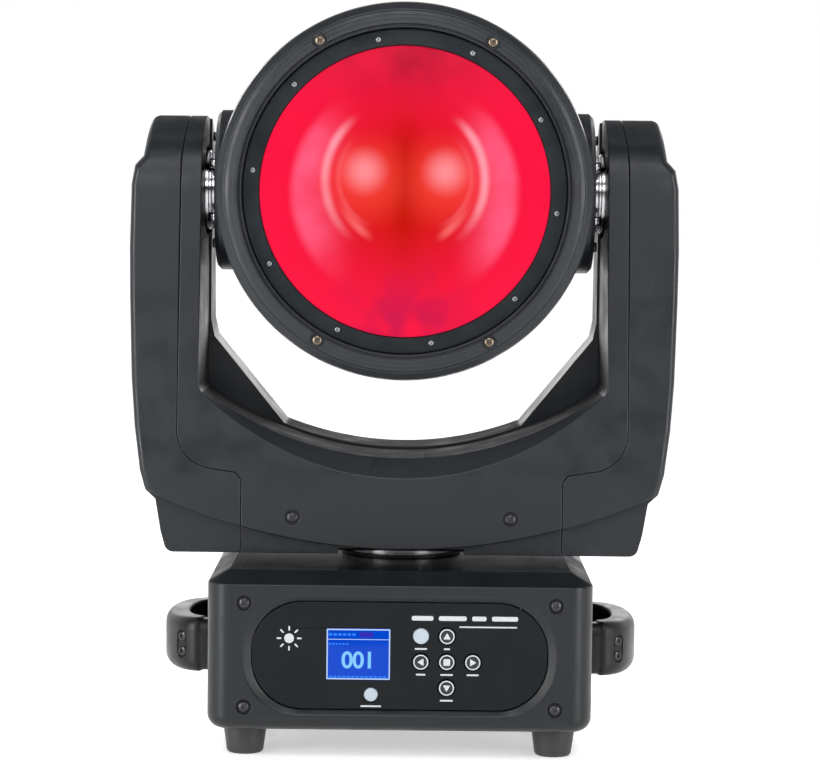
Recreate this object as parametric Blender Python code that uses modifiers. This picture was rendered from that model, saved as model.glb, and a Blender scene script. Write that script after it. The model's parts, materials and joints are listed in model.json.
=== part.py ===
"""Moving head light: a wash light head that tilts in a yoke, and a yoke that pans on a base.

Metres, +Z up. The origin is on the floor under the pan axis, and the light faces -Y at rest.
The dimensions below are in millimetres, and every helper turns them into metres with MM.
Outlines are lists of (across, up) points, and turned profiles are lists of (radius, along) points.
"""

import math

import bmesh
import bpy
from mathutils import Matrix

MM = 0.001
GAP = 0.3
WELD = 0.000001

# Base
BASE_WIDTH = 215.0
BASE_DEPTH = 200.0
BASE_LOW = 16.6
BASE_SHOULDER = 98.6
BASE_TOP = 105.6
BASE_CHAMFER = 12.0
BASE_SIDE_ROUND = 14.0
BASE_FOOT_ROUND = 8.0
BASE_WALL = 3.0
FOOT_X = 87.0
FOOT_Y = 72.0
CLAMP_X = 53.0
CLAMP_Y = 45.0
CLAMP_HOLE_RADIUS = 5.0

# Control panel on the base's front
PANEL_Z = 59.2
PANEL_WIDTH = 164.0
PANEL_HEIGHT = 60.0
PANEL_ROUND = 28.0
LIP_WIDTH = 175.0
LIP_HEIGHT = 66.5
LIP_ROUND = 31.0
PANEL_FACE = -97.6
PANEL_THICK = 2.0
DISPLAY_X = -23.0
DISPLAY_Z = 60.0
DISPLAY_WIDTH = 36.0
DISPLAY_HEIGHT = 29.0
KEY_X = 26.2
KEY_Z = 56.2
KEY_PITCH = 14.45
KEY_RADIUS = 4.3
SWITCH_RADIUS = 3.7
CORNER_SCREW_X = 86.5
CORNER_SCREW_RISE = 29.1

# Rear connector plate
REAR_WIDTH = 150.0
REAR_HEIGHT = 52.0
REAR_FACE = 98.0
SOCKET_RADIUS = 11.5
SOCKET_BORE = 8.5
SOCKET_X = (-52.0, -18.0, 18.0, 52.0)

# Carrying handles
HANDLE_REACH = 138.0
HANDLE_HALF = 46.0
HANDLE_LOW = 39.5
HANDLE_HIGH = 71.0
HANDLE_DEEP = 14.5
HANDLE_LEG = 13.0

# Pan axis
YOKE_LOW = 110.2
PAN_SHAFT = 20.0
PAN_BORE = 14.0
COLLAR_RADIUS = 32.0
COLLAR_FLANGE = 35.0
PAN_SHAFT_LOW = 90.0
BEARING_HEIGHT = 10.0
PAN_PULLEY = 30.0
PAN_MOTOR_X = -62.0
PAN_PULLEY_LOW = 150.0
PAN_PULLEY_HIGH = 158.0

# Yoke, with heights measured from the tilt axis
TILT_Z = 316.6
YOKE_BOTTOM = YOKE_LOW - TILT_Z
YOKE_WALL = 2.5
FRAME_HALF = 124.0
FRAME_HALF_DEPTH = 36.0
FRAME_THICK = 3.0
MOTOR_HALF = 21.0
MOTOR_SHAFT = 2.5
BELT_THICK = 1.5
COVER_SCREW_X = 62.0
COVER_SCREW_Z = 131.3
ARM_ROUND = 43.0
YOKE_HALF_DEPTH = 57.5
FACET_HALF_DEPTH = 52.0
SEAM_Y = 10.0
MOUTH_RADIUS = 162.5
FLOOR_RADIUS = 190.0
FLOOR_LOW = -152.0
CREASE_RADIUS = 340.0
CREASE_LOW = -203.2
TILT_SHAFT = 14.0
TILT_PULLEY = 32.0
MOTOR_PULLEY = 8.0
TILT_MOTOR_DROP = -165.0
TILT_PULLEY_LOW = 129.5
TILT_PULLEY_HIGH = 137.5

# Head, with distances along Y from the tilt axis
HEAD_RADIUS = 105.5
HEAD_FRONT = -97.0
HEAD_REAR = 97.0
HEAD_WALL = 3.0
BEZEL_REAR = -72.3
SHELL_SPLIT = 5.0
LENS_RADIUS = 80.0
LENS_FLANGE = 84.0
RING_RADIUS = 89.9
BEZEL_SCREW_RADIUS = 95.0
HUB_RADIUS = 46.5
HUB_FACE = 108.7
ROD_RADIUS = 3.0
ROD_CIRCLE = 82.0
SCREW_RADIUS = 4.0
SCREW_CIRCLE = 80.0
FAN_HOLE = 42.0
HUB_BORE = 9.0
HUB_COLLAR = 23.0
HUB_COLLAR_END = 117.0
HUB_END = 139.0
VENT_PITCH = 14.0
VENT_HEIGHT = 5.0
VENT_CIRCLE = 56.0
BEZEL_POCKET = 4.0
CHASSIS_REAR = 1.0
CHASSIS_FRONT = -2.0

AXES = {
    "X": Matrix(((0, 0, 1), (1, 0, 0), (0, 1, 0))).to_4x4(),
    "Y": Matrix(((1, 0, 0), (0, 0, 1), (0, -1, 0))).to_4x4(),
    "Z": Matrix.Identity(4),
}
OUTLINE_PLANES = {
    "X": AXES["X"],
    "Y": Matrix(((1, 0, 0), (0, 0, -1), (0, 1, 0))).to_4x4(),
    "Z": AXES["Z"],
}


# ---------------------------------------------------------------- scene set-up


def clear_scene():
    for obj in list(bpy.data.objects):
        bpy.data.objects.remove(obj, do_unlink=True)


def new_collection(name):
    made = bpy.data.collections.new(name)
    bpy.context.scene.collection.children.link(made)
    return made


def new_material(name, colour, roughness, metallic=0.0, glow=0.0):
    made = bpy.data.materials.new(name)
    made.use_nodes = True
    shader = made.node_tree.nodes["Principled BSDF"]
    shader.inputs["Base Color"].default_value = (*colour, 1.0)
    shader.inputs["Roughness"].default_value = roughness
    shader.inputs["Metallic"].default_value = metallic
    shader.inputs["Emission Color"].default_value = (*colour, 1.0)
    shader.inputs["Emission Strength"].default_value = glow
    return made


clear_scene()
PARTS = new_collection("moving_head_light")
CUTTERS = new_collection("cutters")

SHELL_PLASTIC = new_material("shell_plastic", (0.045, 0.047, 0.052), 0.5)
BASE_PLASTIC = new_material("base_plastic", (0.05, 0.052, 0.056), 0.48)
HANDLE_PLASTIC = new_material("handle_plastic", (0.11, 0.11, 0.12), 0.55)
PANEL_FILM = new_material("panel_film", (0.012, 0.016, 0.018), 0.25)
DISPLAY_GLASS = new_material("display_glass", (0.0, 0.06, 0.8), 0.1, glow=1.0)
KEY_PLASTIC = new_material("key_plastic", (0.62, 0.65, 0.68), 0.4)
RUBBER = new_material("rubber", (0.03, 0.03, 0.03), 0.8)
STEEL = new_material("steel", (0.6, 0.6, 0.62), 0.25, metallic=1.0)
ALUMINIUM = new_material("aluminium", (0.75, 0.76, 0.78), 0.35, metallic=1.0)
FRAME_METAL = new_material("frame_metal", (0.3, 0.31, 0.32), 0.45, metallic=1.0)
LENS_GLASS = new_material("lens_glass", (0.9, 0.01, 0.04), 0.08, glow=1.5)
OPTIC_GLASS = new_material("optic_glass", (0.8, 0.82, 0.85), 0.05)
RING_BLACK = new_material("ring_black", (0.012, 0.013, 0.015), 0.35)
BOARD_GREEN = new_material("board_green", (0.02, 0.16, 0.07), 0.5)
INNER_PLASTIC = new_material("inner_plastic", (0.02, 0.02, 0.022), 0.5)


# ---------------------------------------------------------------- outlines


def arc(across, up, radius, start, end, steps):
    """Points on an arc from start to end degrees, both ends included."""
    angles = [math.radians(start + (end - start) * i / steps) for i in range(steps + 1)]
    return [(across + radius * math.cos(a), up + radius * math.sin(a)) for a in angles]


def rounded_rectangle(width, height, radius, steps=4, across=0.0, up=0.0):
    x = width / 2 - radius
    y = height / 2 - radius
    points = arc(across + x, up + y, radius, 0, 90, steps)
    points += arc(across - x, up + y, radius, 90, 180, steps)
    points += arc(across - x, up - y, radius, 180, 270, steps)
    points += arc(across + x, up - y, radius, 270, 360, steps)
    return points


def mirrored(half):
    """A whole outline from its right half, which is listed from the top to the bottom."""
    return half + [(-x, y) for x, y in reversed(half)]


def inset(outline, distance):
    """The outline moved inwards by distance, with sharp corners kept. A negative distance grows it."""
    if area(outline) < 0:
        outline = list(reversed(outline))
    moved = []
    for i, (x, y) in enumerate(outline):
        before = outline[i - 1]
        after = outline[(i + 1) % len(outline)]
        a = unit_normal(before, (x, y))
        b = unit_normal((x, y), after)
        scale = distance / (1 + a[0] * b[0] + a[1] * b[1])
        moved.append((x + (a[0] + b[0]) * scale, y + (a[1] + b[1]) * scale))
    return moved


def unit_normal(start, end):
    """The left-hand normal of the edge from start to end."""
    dx = end[0] - start[0]
    dy = end[1] - start[1]
    length = math.hypot(dx, dy)
    return (-dy / length, dx / length)


def area(outline):
    pairs = zip(outline, outline[1:] + outline[:1])
    return sum(x0 * y1 - x1 * y0 for (x0, y0), (x1, y1) in pairs) / 2


def circle_depth(radius, low, across):
    """Height of a wide arc with its lowest point at low, at a distance across from the middle."""
    return low + radius - math.sqrt(radius * radius - across * across)


def belt_loop(near, near_radius, far, far_radius, steps=12):
    """The outline of a belt round two pulleys, whose centres are near and far."""
    dx = far[0] - near[0]
    dy = far[1] - near[1]
    heading = math.degrees(math.atan2(dy, dx))
    wrap = math.degrees(math.acos((near_radius - far_radius) / math.hypot(dx, dy)))
    big = arc(*near, near_radius, heading + wrap, heading + 360 - wrap, 2 * steps)
    small = arc(*far, far_radius, heading - wrap, heading + wrap, steps)
    return big + small


# ---------------------------------------------------------------- building blocks


def add_object(name, mesh, material=None, collection=None):
    made = bpy.data.objects.new(name, mesh)
    (collection or PARTS).objects.link(made)
    if material:
        mesh.materials.append(material)
    return made


def from_bmesh(name, bm):
    mesh = bpy.data.meshes.new(name)
    bm.to_mesh(mesh)
    bm.free()
    return mesh


def evaluated_mesh(obj):
    bpy.context.view_layer.update()
    graph = bpy.context.evaluated_depsgraph_get()
    return bpy.data.meshes.new_from_object(obj.evaluated_get(graph))


def flat_mesh(name, outlines, thickness):
    """A plate in the XY plane. The first outline is its edge, and any others are holes."""
    curve = bpy.data.curves.new(name, "CURVE")
    curve.dimensions = "2D"
    curve.fill_mode = "BOTH"
    curve.extrude = thickness * MM / 2
    for outline in outlines:
        spline = curve.splines.new("POLY")
        spline.points.add(len(outline) - 1)
        for point, (x, y) in zip(spline.points, outline):
            point.co = (x * MM, y * MM, 0, 1)
        spline.use_cyclic_u = True
    holder = bpy.data.objects.new(name, curve)
    CUTTERS.objects.link(holder)
    mesh = evaluated_mesh(holder)
    bpy.data.objects.remove(holder)
    bm = bmesh.new()
    bm.from_mesh(mesh)
    bmesh.ops.remove_doubles(bm, verts=bm.verts, dist=WELD)
    bmesh.ops.recalc_face_normals(bm, faces=bm.faces)
    bm.to_mesh(mesh)
    bm.free()
    return mesh


def prism(name, outlines, low, high, axis, material=None, collection=None):
    """Outlines extruded along a world axis from low to high."""
    mesh = flat_mesh(name, outlines, high - low)
    made = add_object(name, mesh, material, collection)
    middle = (low + high) / 2 * MM
    offset = {"X": (middle, 0, 0), "Y": (0, middle, 0), "Z": (0, 0, middle)}[axis]
    made.matrix_world = Matrix.Translation(offset) @ OUTLINE_PLANES[axis]
    return made


def turned(name, profile, axis="Z", centre=(0, 0, 0), steps=36, material=None, collection=None):
    """A profile turned about a world axis through centre. A profile that ends on the axis is open."""
    if area(profile) > 0:
        profile = list(reversed(profile))
    closed = min(radius for radius, along in profile) > 0
    if not closed:
        while profile[0][0] != 0 or profile[-1][0] != 0:
            profile = profile[1:] + profile[:1]
    mesh = bpy.data.meshes.new(name)
    points = [(radius * MM, 0, along * MM) for radius, along in profile]
    edges = [(i, i + 1) for i in range(len(points) - 1)]
    if closed:
        edges.append((len(points) - 1, 0))
    mesh.from_pydata(points, edges, [])
    made = add_object(name, mesh, material, collection)
    made.matrix_world = Matrix.Translation([c * MM for c in centre]) @ AXES[axis]
    screw = made.modifiers.new("turn", "SCREW")
    screw.axis = "Z"
    screw.angle = math.tau
    screw.steps = steps
    screw.render_steps = steps
    screw.use_merge_vertices = True
    screw.merge_threshold = WELD
    return made


def rod(name, radius, low, high, axis, centre, material=None, collection=None, steps=24):
    """A plain round bar along a world axis."""
    profile = [(0, low), (radius, low), (radius, high), (0, high)]
    return turned(name, profile, axis, centre, steps, material, collection)


def tube(name, inner, outer, low, high, axis, centre, material, steps=24):
    profile = [(inner, low), (outer, low), (outer, high), (inner, high)]
    return turned(name, profile, axis, centre, steps, material)


def block(name, low, high, material=None, collection=None, bevel=0.0):
    """A box between two corners, with its edges bevelled."""
    bm = bmesh.new()
    bmesh.ops.create_cube(bm, size=1)
    size = [(b - a) * MM for a, b in zip(low, high)]
    bmesh.ops.scale(bm, vec=size, verts=bm.verts)
    made = add_object(name, from_bmesh(name, bm), material, collection)
    made.location = [(a + b) / 2 * MM for a, b in zip(low, high)]
    if bevel:
        edge = made.modifiers.new("edges", "BEVEL")
        edge.width = bevel * MM
        edge.segments = 1
    return made


def loft(name, sections, material=None, collection=None):
    """A solid through outlines with the same number of points, each placed at its own Y."""
    bm = bmesh.new()
    rings = []
    for outline, y in sections:
        rings.append([bm.verts.new((x * MM, y * MM, z * MM)) for x, z in outline])
    for first, second in zip(rings, rings[1:]):
        for i in range(len(first)):
            j = (i + 1) % len(first)
            bm.faces.new((first[i], first[j], second[j], second[i]))
    bm.faces.new(rings[0])
    bm.faces.new(rings[-1])
    bmesh.ops.recalc_face_normals(bm, faces=bm.faces)
    return add_object(name, from_bmesh(name, bm), material, collection)


def as_cutter(obj):
    obj.hide_render = True
    obj.display_type = "WIRE"
    return obj


def combine(obj, other, operation):
    step = obj.modifiers.new(operation.lower(), "BOOLEAN")
    step.operation = operation
    step.object = other
    step.solver = "EXACT"


def cut(obj, *cutters):
    for cutter in cutters:
        combine(obj, as_cutter(cutter), "DIFFERENCE")
    return obj


def keep(obj, region):
    combine(obj, as_cutter(region), "INTERSECT")
    return obj


def fuse(obj, *others):
    for other in others:
        combine(obj, as_cutter(other), "UNION")
    return obj


def empty(name, location, parent=None):
    made = bpy.data.objects.new(name, None)
    PARTS.objects.link(made)
    made.location = [c * MM for c in location]
    attach(parent, made)
    return made


def attach(parent, *objects):
    """Parents objects to an empty, and leaves them where they are."""
    if parent is None:
        return
    bpy.context.view_layer.update()
    for obj in objects:
        obj.parent = parent
        obj.matrix_parent_inverse = parent.matrix_world.inverted()


def cut_bar(name, radius, low, high, axis, centre, steps=24):
    return rod(name, radius, low, high, axis, centre, collection=CUTTERS, steps=steps)


# ---------------------------------------------------------------- base


def key_places():
    """Name, X, Z and radius of each push button on the control panel."""
    return [
        ("button_enter", KEY_X, KEY_Z, KEY_RADIUS),
        ("button_up", KEY_X, KEY_Z + KEY_PITCH, KEY_RADIUS),
        ("button_down", KEY_X, KEY_Z - KEY_PITCH, KEY_RADIUS),
        ("button_left", KEY_X - KEY_PITCH, KEY_Z, KEY_RADIUS),
        ("button_right", KEY_X + KEY_PITCH, KEY_Z, KEY_RADIUS),
        ("button_mode", KEY_X - KEY_PITCH, KEY_Z + KEY_PITCH, KEY_RADIUS),
        ("button_power", -15.8, 37.6, SWITCH_RADIUS),
    ]


def panel_outline(width, height, radius):
    return rounded_rectangle(width, height, radius, steps=6, up=PANEL_Z)


def base_shell_mesh():
    """The base's outer surface, open at the bottom: round upright edges, sloped shoulders."""
    bm = bmesh.new()
    bmesh.ops.create_cube(bm, size=1)
    height = BASE_SHOULDER - BASE_LOW
    bmesh.ops.scale(bm, vec=(BASE_WIDTH * MM, BASE_DEPTH * MM, height * MM), verts=bm.verts)
    upright = [e for e in bm.edges if abs(e.verts[0].co.z - e.verts[1].co.z) > WELD]
    bmesh.ops.bevel(
        bm, geom=upright, offset=BASE_SIDE_ROUND * MM, segments=5, profile=0.5, affect="EDGES"
    )
    bm.normal_update()
    top = max(bm.faces, key=lambda face: face.normal.z)
    bmesh.ops.inset_region(
        bm,
        faces=[top],
        thickness=BASE_CHAMFER * MM,
        depth=(BASE_TOP - BASE_SHOULDER) * MM,
        use_even_offset=True,
    )
    bm.normal_update()
    bottom = min(bm.faces, key=lambda face: face.normal.z)
    bmesh.ops.bevel(
        bm,
        geom=list(bottom.edges),
        offset=BASE_FOOT_ROUND * MM,
        segments=4,
        profile=0.5,
        affect="EDGES",
    )
    bm.normal_update()
    bottom = min(bm.faces, key=lambda face: (face.normal.z, face.calc_center_median().z))
    bmesh.ops.delete(bm, geom=[bottom], context="FACES")
    return from_bmesh("base_housing", bm)


def make_base_housing():
    housing = add_object("base_housing", base_shell_mesh(), BASE_PLASTIC)
    housing.location.z = (BASE_SHOULDER + BASE_LOW) / 2 * MM
    wall = housing.modifiers.new("wall", "SOLIDIFY")
    wall.thickness = BASE_WALL * MM
    wall.offset = -1
    wall.use_even_offset = True
    front = -BASE_DEPTH / 2
    hole = panel_outline(PANEL_WIDTH + 2 * GAP, PANEL_HEIGHT + 2 * GAP, PANEL_ROUND)
    lip = panel_outline(LIP_WIDTH, LIP_HEIGHT, LIP_ROUND)
    cut(
        housing,
        prism("panel_hole", [hole], front - 5, front + 8, "Y", collection=CUTTERS),
        loft("panel_lip", [(lip, front - 1), (lip, front), (hole, front + 2.4)], collection=CUTTERS),
        cut_bar("pan_hole", PAN_SHAFT + 0.6, BASE_SHOULDER - 10, BASE_TOP + 5, "Z", (0, 0, 0), steps=32),
        block(
            "rear_window",
            (-REAR_WIDTH / 2, BASE_DEPTH / 2 - 8, PANEL_Z - REAR_HEIGHT / 2),
            (REAR_WIDTH / 2, BASE_DEPTH / 2 + 5, PANEL_Z + REAR_HEIGHT / 2),
            collection=CUTTERS,
        ),
    )
    for i, (x, z) in enumerate(corner_screw_places()):
        pocket = cut_bar(f"screw_pocket_{i}", 4.0, front - 2, front + 1.8, "Y", (x, 0, z), steps=16)
        cut(housing, pocket)


def corner_screw_places():
    rises = (-CORNER_SCREW_RISE, CORNER_SCREW_RISE)
    return [(x, PANEL_Z + z) for x in (-CORNER_SCREW_X, CORNER_SCREW_X) for z in rises]


def make_bottom_plate():
    edge = BASE_FOOT_ROUND + 1.5
    plate = rounded_rectangle(BASE_WIDTH - 2 * edge, BASE_DEPTH - 2 * edge, 5.0)
    holes = [
        arc(x, y, CLAMP_HOLE_RADIUS, 0, 330, 11)
        for x in (-CLAMP_X, CLAMP_X)
        for y in (-CLAMP_Y, CLAMP_Y)
    ]
    prism("bottom_plate", [plate, *holes], BASE_LOW, BASE_LOW + 2.5, "Z", FRAME_METAL)


def make_control_panel():
    holes = [arc(x, z, radius + 2 * GAP, 0, 330, 11) for name, x, z, radius in key_places()]
    window = rounded_rectangle(DISPLAY_WIDTH, DISPLAY_HEIGHT, 1.0, 2, DISPLAY_X, DISPLAY_Z)
    outline = panel_outline(PANEL_WIDTH, PANEL_HEIGHT, PANEL_ROUND)
    back = PANEL_FACE + PANEL_THICK
    prism("control_panel", [outline, window, *holes], PANEL_FACE, back, "Y", PANEL_FILM)


def make_display():
    half_width = DISPLAY_WIDTH / 2 - GAP
    half_height = DISPLAY_HEIGHT / 2 - GAP
    block(
        "lcd_display",
        (DISPLAY_X - half_width, PANEL_FACE + 0.2, DISPLAY_Z - half_height),
        (DISPLAY_X + half_width, PANEL_FACE + 4.6, DISPLAY_Z + half_height),
        DISPLAY_GLASS,
        bevel=0.4,
    )


def make_control_board():
    board_front = PANEL_FACE + 7.1
    block("control_board", (-72, board_front, 34), (72, board_front + 1.6, 84), BOARD_GREEN)


def make_button(name, x, z, radius):
    """A push button: a cap that stands out of its hole, on a wider flange and a short stem."""
    face = PANEL_FACE - 1.2
    shoulder = PANEL_FACE + PANEL_THICK + GAP
    profile = [
        (0, face),
        (radius - 0.5, face),
        (radius, face + 0.5),
        (radius, shoulder),
        (radius + 1.2, shoulder),
        (radius + 1.2, shoulder + 1.0),
        (1.5, shoulder + 1.0),
        (1.5, PANEL_FACE + 5.4),
        (0, PANEL_FACE + 5.4),
    ]
    turned(name, profile, "Y", (x, 0, z), 12, KEY_PLASTIC)


def make_power_supply():
    block("power_supply", (-99, -76, 24), (-40, 74, 70), ALUMINIUM, bevel=2)


def make_rear_plate():
    outline = rounded_rectangle(REAR_WIDTH - 2 * GAP, REAR_HEIGHT - 2 * GAP, 1.0, 2, 0, PANEL_Z)
    holes = [arc(x, PANEL_Z, SOCKET_RADIUS + GAP, 0, 337.5, 15) for x in SOCKET_X]
    prism("rear_panel", [outline, *holes], REAR_FACE - 2, REAR_FACE, "Y", FRAME_METAL)


def make_socket(name, x):
    """A panel connector: a square flange on a round barrel that is bored from the outside."""
    flange = rounded_rectangle(26, 31, 3, 3, x, PANEL_Z)
    bore = arc(x, PANEL_Z, SOCKET_BORE, 0, 337.5, 15)
    face = REAR_FACE + GAP
    socket = prism(name, [flange, bore], face, face + 1.6, "Y", INNER_PLASTIC)
    barrel = [
        (0, REAR_FACE - 20),
        (SOCKET_RADIUS, REAR_FACE - 20),
        (SOCKET_RADIUS, face + 0.8),
        (SOCKET_BORE, face + 0.8),
        (SOCKET_BORE, REAR_FACE - 14),
        (0, REAR_FACE - 14),
    ]
    fuse(socket, turned(name + "_barrel", barrel, "Y", (x, 0, PANEL_Z), 16, collection=CUTTERS))


def make_feet():
    profile = [(0, 0), (9.4, 0), (10.4, 1.0), (12.4, BASE_LOW - GAP), (0, BASE_LOW - GAP)]
    for depth, y in (("front", -FOOT_Y), ("rear", FOOT_Y)):
        for side, x in (("left", -FOOT_X), ("right", FOOT_X)):
            turned(f"foot_{depth}_{side}", profile, "Z", (x, y, 0), 18, RUBBER)


def handle_outline(side):
    """A flattened loop that starts and ends at the base's side wall, seen from above."""
    root = BASE_WIDTH / 2 + GAP
    reach = HANDLE_REACH - root
    steps = 12
    angles = [math.radians(-90 + 180 * i / steps) for i in range(steps + 1)]
    outer = [
        (root + reach * math.cos(a) ** 0.75, HANDLE_HALF * math.sin(a))
        for a in angles[1:-1]
    ]
    outer = [(root, -HANDLE_HALF), *outer, (root, HANDLE_HALF)]
    finger_half = HANDLE_HALF - HANDLE_LEG
    finger_reach = reach - HANDLE_DEEP
    inner = [
        (root + finger_reach * math.cos(a) ** 0.75, finger_half * math.sin(a))
        for a in angles[1:-1]
    ]
    inner = [(root, -finger_half), *inner, (root, finger_half)]
    return [(side * x, y) for x, y in outer + list(reversed(inner))]


def make_handles():
    for name, side in (("handle_left", -1), ("handle_right", 1)):
        handle = prism(name, [handle_outline(side)], HANDLE_LOW, HANDLE_HIGH, "Z", HANDLE_PLASTIC)
        edge = handle.modifiers.new("edges", "BEVEL")
        edge.width = 3 * MM
        edge.segments = 1
        edge.angle_limit = math.radians(50)


def make_pan_shaft():
    """The hollow pan post: a bright collar bolted on the base's top, with the shaft through it."""
    low = BASE_TOP + GAP
    profile = [
        (PAN_BORE, PAN_SHAFT_LOW),
        (PAN_SHAFT, PAN_SHAFT_LOW),
        (PAN_SHAFT, low),
        (COLLAR_FLANGE, low),
        (COLLAR_FLANGE, low + 1.2),
        (COLLAR_RADIUS, low + 2.4),
        (COLLAR_RADIUS, YOKE_LOW - GAP),
        (PAN_SHAFT, YOKE_LOW - GAP),
        (PAN_SHAFT, PAN_PULLEY_HIGH + 2),
        (PAN_BORE, PAN_PULLEY_HIGH + 2),
    ]
    turned("pan_shaft", profile, "Z", (0, 0, 0), 24, STEEL)
    low, high = PAN_PULLEY_LOW, PAN_PULLEY_HIGH
    tube("pan_pulley", PAN_SHAFT + GAP, PAN_PULLEY, low, high, "Z", (0, 0, 0), ALUMINIUM)


def make_base():
    make_base_housing()
    make_bottom_plate()
    make_control_panel()
    make_display()
    make_control_board()
    for key in key_places():
        make_button(*key)
    make_power_supply()
    make_rear_plate()
    for name, x in zip(("power_in", "power_out", "data_in", "data_out"), SOCKET_X):
        make_socket(name, x)
    make_feet()
    make_handles()
    make_pan_shaft()


# ---------------------------------------------------------------- yoke


def lifted(outline):
    """An outline given from the tilt axis, in heights above the floor."""
    return [(x, z + TILT_Z) for x, z in outline]


def yoke_silhouette():
    """The yoke's outer edge from the front, as if the opening were filled."""
    half = [
        (146.0, 50.0),
        (148.0, 27.0),
        (150.2, 20.5),
        (154.3, 13.5),
        (156.0, 4.0),
        (156.5, -33.0),
        (156.0, -62.0),
        (154.5, -107.0),
        (152.5, -134.0),
        (149.3, -159.0),
        (146.0, -171.0),
        (140.5, -176.0),
        (137.5, -194.0),
        (134.5, YOKE_BOTTOM + 1.5),
        (132.5, YOKE_BOTTOM),
    ]
    return mirrored(half)


def side_profile(shrink):
    """The yoke from the side: a round top about the tilt axis, and straight sides that spread."""
    top = ARM_ROUND - shrink
    foot = YOKE_HALF_DEPTH - shrink
    low = YOKE_BOTTOM - 20 + shrink
    return arc(0, 0, top, 0, 180, 20) + [(-foot, -170), (-foot, low), (foot, low), (foot, -170)]


def opening_section(wall, low, radius, grow):
    """The U between the arms: upright walls down to a wide arc. grow makes it larger all round."""
    wall += grow
    low -= grow
    steps = 9
    across = [wall * math.sin(math.radians(80 * i / steps)) for i in range(steps, -1, -1)]
    half = [(wall, 80.0), (wall, circle_depth(radius, low, wall * 0.99) + 3)]
    half += [(x, circle_depth(radius, low, x)) for x in across[:-1]]
    return lifted(mirrored(half))


def rear_opening(grow):
    """The opening of the yoke's rear half, whose lower corners are filled by slanted webs."""
    wall = 113.6 + grow
    half = [
        (wall, 80.0),
        (wall, -76.0),
        (111.5 + grow, -86.0 - grow / 2),
        (70.0 + grow / 2, -138.0 - grow),
        (48.0, -145.5 - grow),
        (25.0, -150.2 - grow),
    ]
    return lifted(mirrored(half))


def opening_cutters(name, grow):
    """The space between the arms as two solids: a flared front half and a webbed rear half."""
    face = YOKE_HALF_DEPTH
    mouth = opening_section(116.6, -MOUTH_RADIUS, MOUTH_RADIUS, grow)
    floor = opening_section(116.0, FLOOR_LOW, FLOOR_RADIUS, grow)
    floor_rear = opening_section(114.8, FLOOR_LOW, FLOOR_RADIUS, grow)
    sections = [
        (mouth, -face - 20),
        (mouth, -face),
        (floor, -46 + grow / 2),
        (floor_rear, SEAM_Y + grow),
    ]
    return [
        loft(name + "_front", sections, collection=CUTTERS),
        prism(name + "_rear", [rear_opening(grow)], SEAM_Y - 1 + grow, 90, "Y", collection=CUTTERS),
    ]


def facet_cutters(name, grow):
    """The two strips that set the yoke's lower front and rear faces back below the crease."""
    across = [165.0 * i / 12 - 165.0 for i in range(25)]
    low = CREASE_LOW + grow
    outline = lifted([(x, circle_depth(CREASE_RADIUS, low, x)) for x in across])
    bottom = YOKE_LOW - 40
    outline = [(165.0, bottom), (-165.0, bottom), *outline]
    near = FACET_HALF_DEPTH - grow
    return [
        prism(name + "_front", [outline], -90, -near, "Y", collection=CUTTERS),
        prism(name + "_rear", [outline], near, 90, "Y", collection=CUTTERS),
    ]


def yoke_solid(name, grow):
    """The filled yoke, shrunk by grow, without its opening and set back below the crease."""
    silhouette = lifted(inset(yoke_silhouette(), grow) if grow else yoke_silhouette())
    solid = prism(name, [silhouette], -80, 80, "Y", collection=CUTTERS)
    side = prism(name + "_side", [lifted(side_profile(grow))], -200, 200, "X", collection=CUTTERS)
    keep(solid, side)
    cut(solid, *opening_cutters(name + "_opening", grow), *facet_cutters(name + "_facet", grow))
    return solid


def baked(obj):
    """The object with its modifiers made real, so that several pieces can share the result."""
    mesh = evaluated_mesh(obj)
    obj.modifiers.clear()
    obj.data = mesh
    return obj


def seam_line(shift):
    """The seam between the middle covers and the right arm's cover, moved outwards by shift."""
    return [
        (125.2 + shift, 90.0),
        (125.2 + shift, 40.0),
        (127.5 + shift, 19.0),
        (128.2 + shift, -114.0),
        *arc(106.2, -136.0, 22.0 + shift, 0, -75, 6),
        (94.5 + shift, -160.0 - shift),
        (91.4 + shift, -164.0 - shift),
        (91.4 + shift, -240.0),
    ]


def crease_line(shift):
    across = [135.0 - 135.0 * i / 10 for i in range(21)]
    return [(x, circle_depth(CREASE_RADIUS, CREASE_LOW + shift, x)) for x in across]


def middle_region(name, low, high):
    """The covers between the two seams and above the crease, from low to high along Y."""
    seam = [point for point in seam_line(-GAP / 2) if point[1] > -180]
    foot = 91.4 - GAP / 2
    crease = [point for point in crease_line(GAP / 2) if abs(point[0]) < foot]
    right = seam + [(foot, circle_depth(CREASE_RADIUS, CREASE_LOW + GAP / 2, foot))]
    left = [(-x, z) for x, z in reversed(right)]
    return prism(name, [lifted(right + crease + left)], low, high, "Y", collection=CUTTERS)


def tray_region():
    foot = 91.4 - GAP / 2
    crease = [point for point in crease_line(-GAP / 2) if abs(point[0]) < foot]
    edge = circle_depth(CREASE_RADIUS, CREASE_LOW - GAP / 2, foot)
    outline = [(foot, -240.0), (foot, edge), *crease, (-foot, edge), (-foot, -240.0)]
    return prism("tray_region", [lifted(outline)], -90, 90, "Y", collection=CUTTERS)


def arm_region(name, side):
    outline = seam_line(GAP / 2) + [(200.0, -240.0), (200.0, 90.0)]
    outline = [(side * x, z) for x, z in outline]
    return prism(name, [lifted(outline)], -90, 90, "Y", collection=CUTTERS)


def shell_piece(name, shell, region):
    """The part of the yoke's skin that lies in a region."""
    piece = add_object(name, shell.data.copy(), SHELL_PLASTIC)
    piece.matrix_world = shell.matrix_world
    return keep(piece, region)


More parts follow.
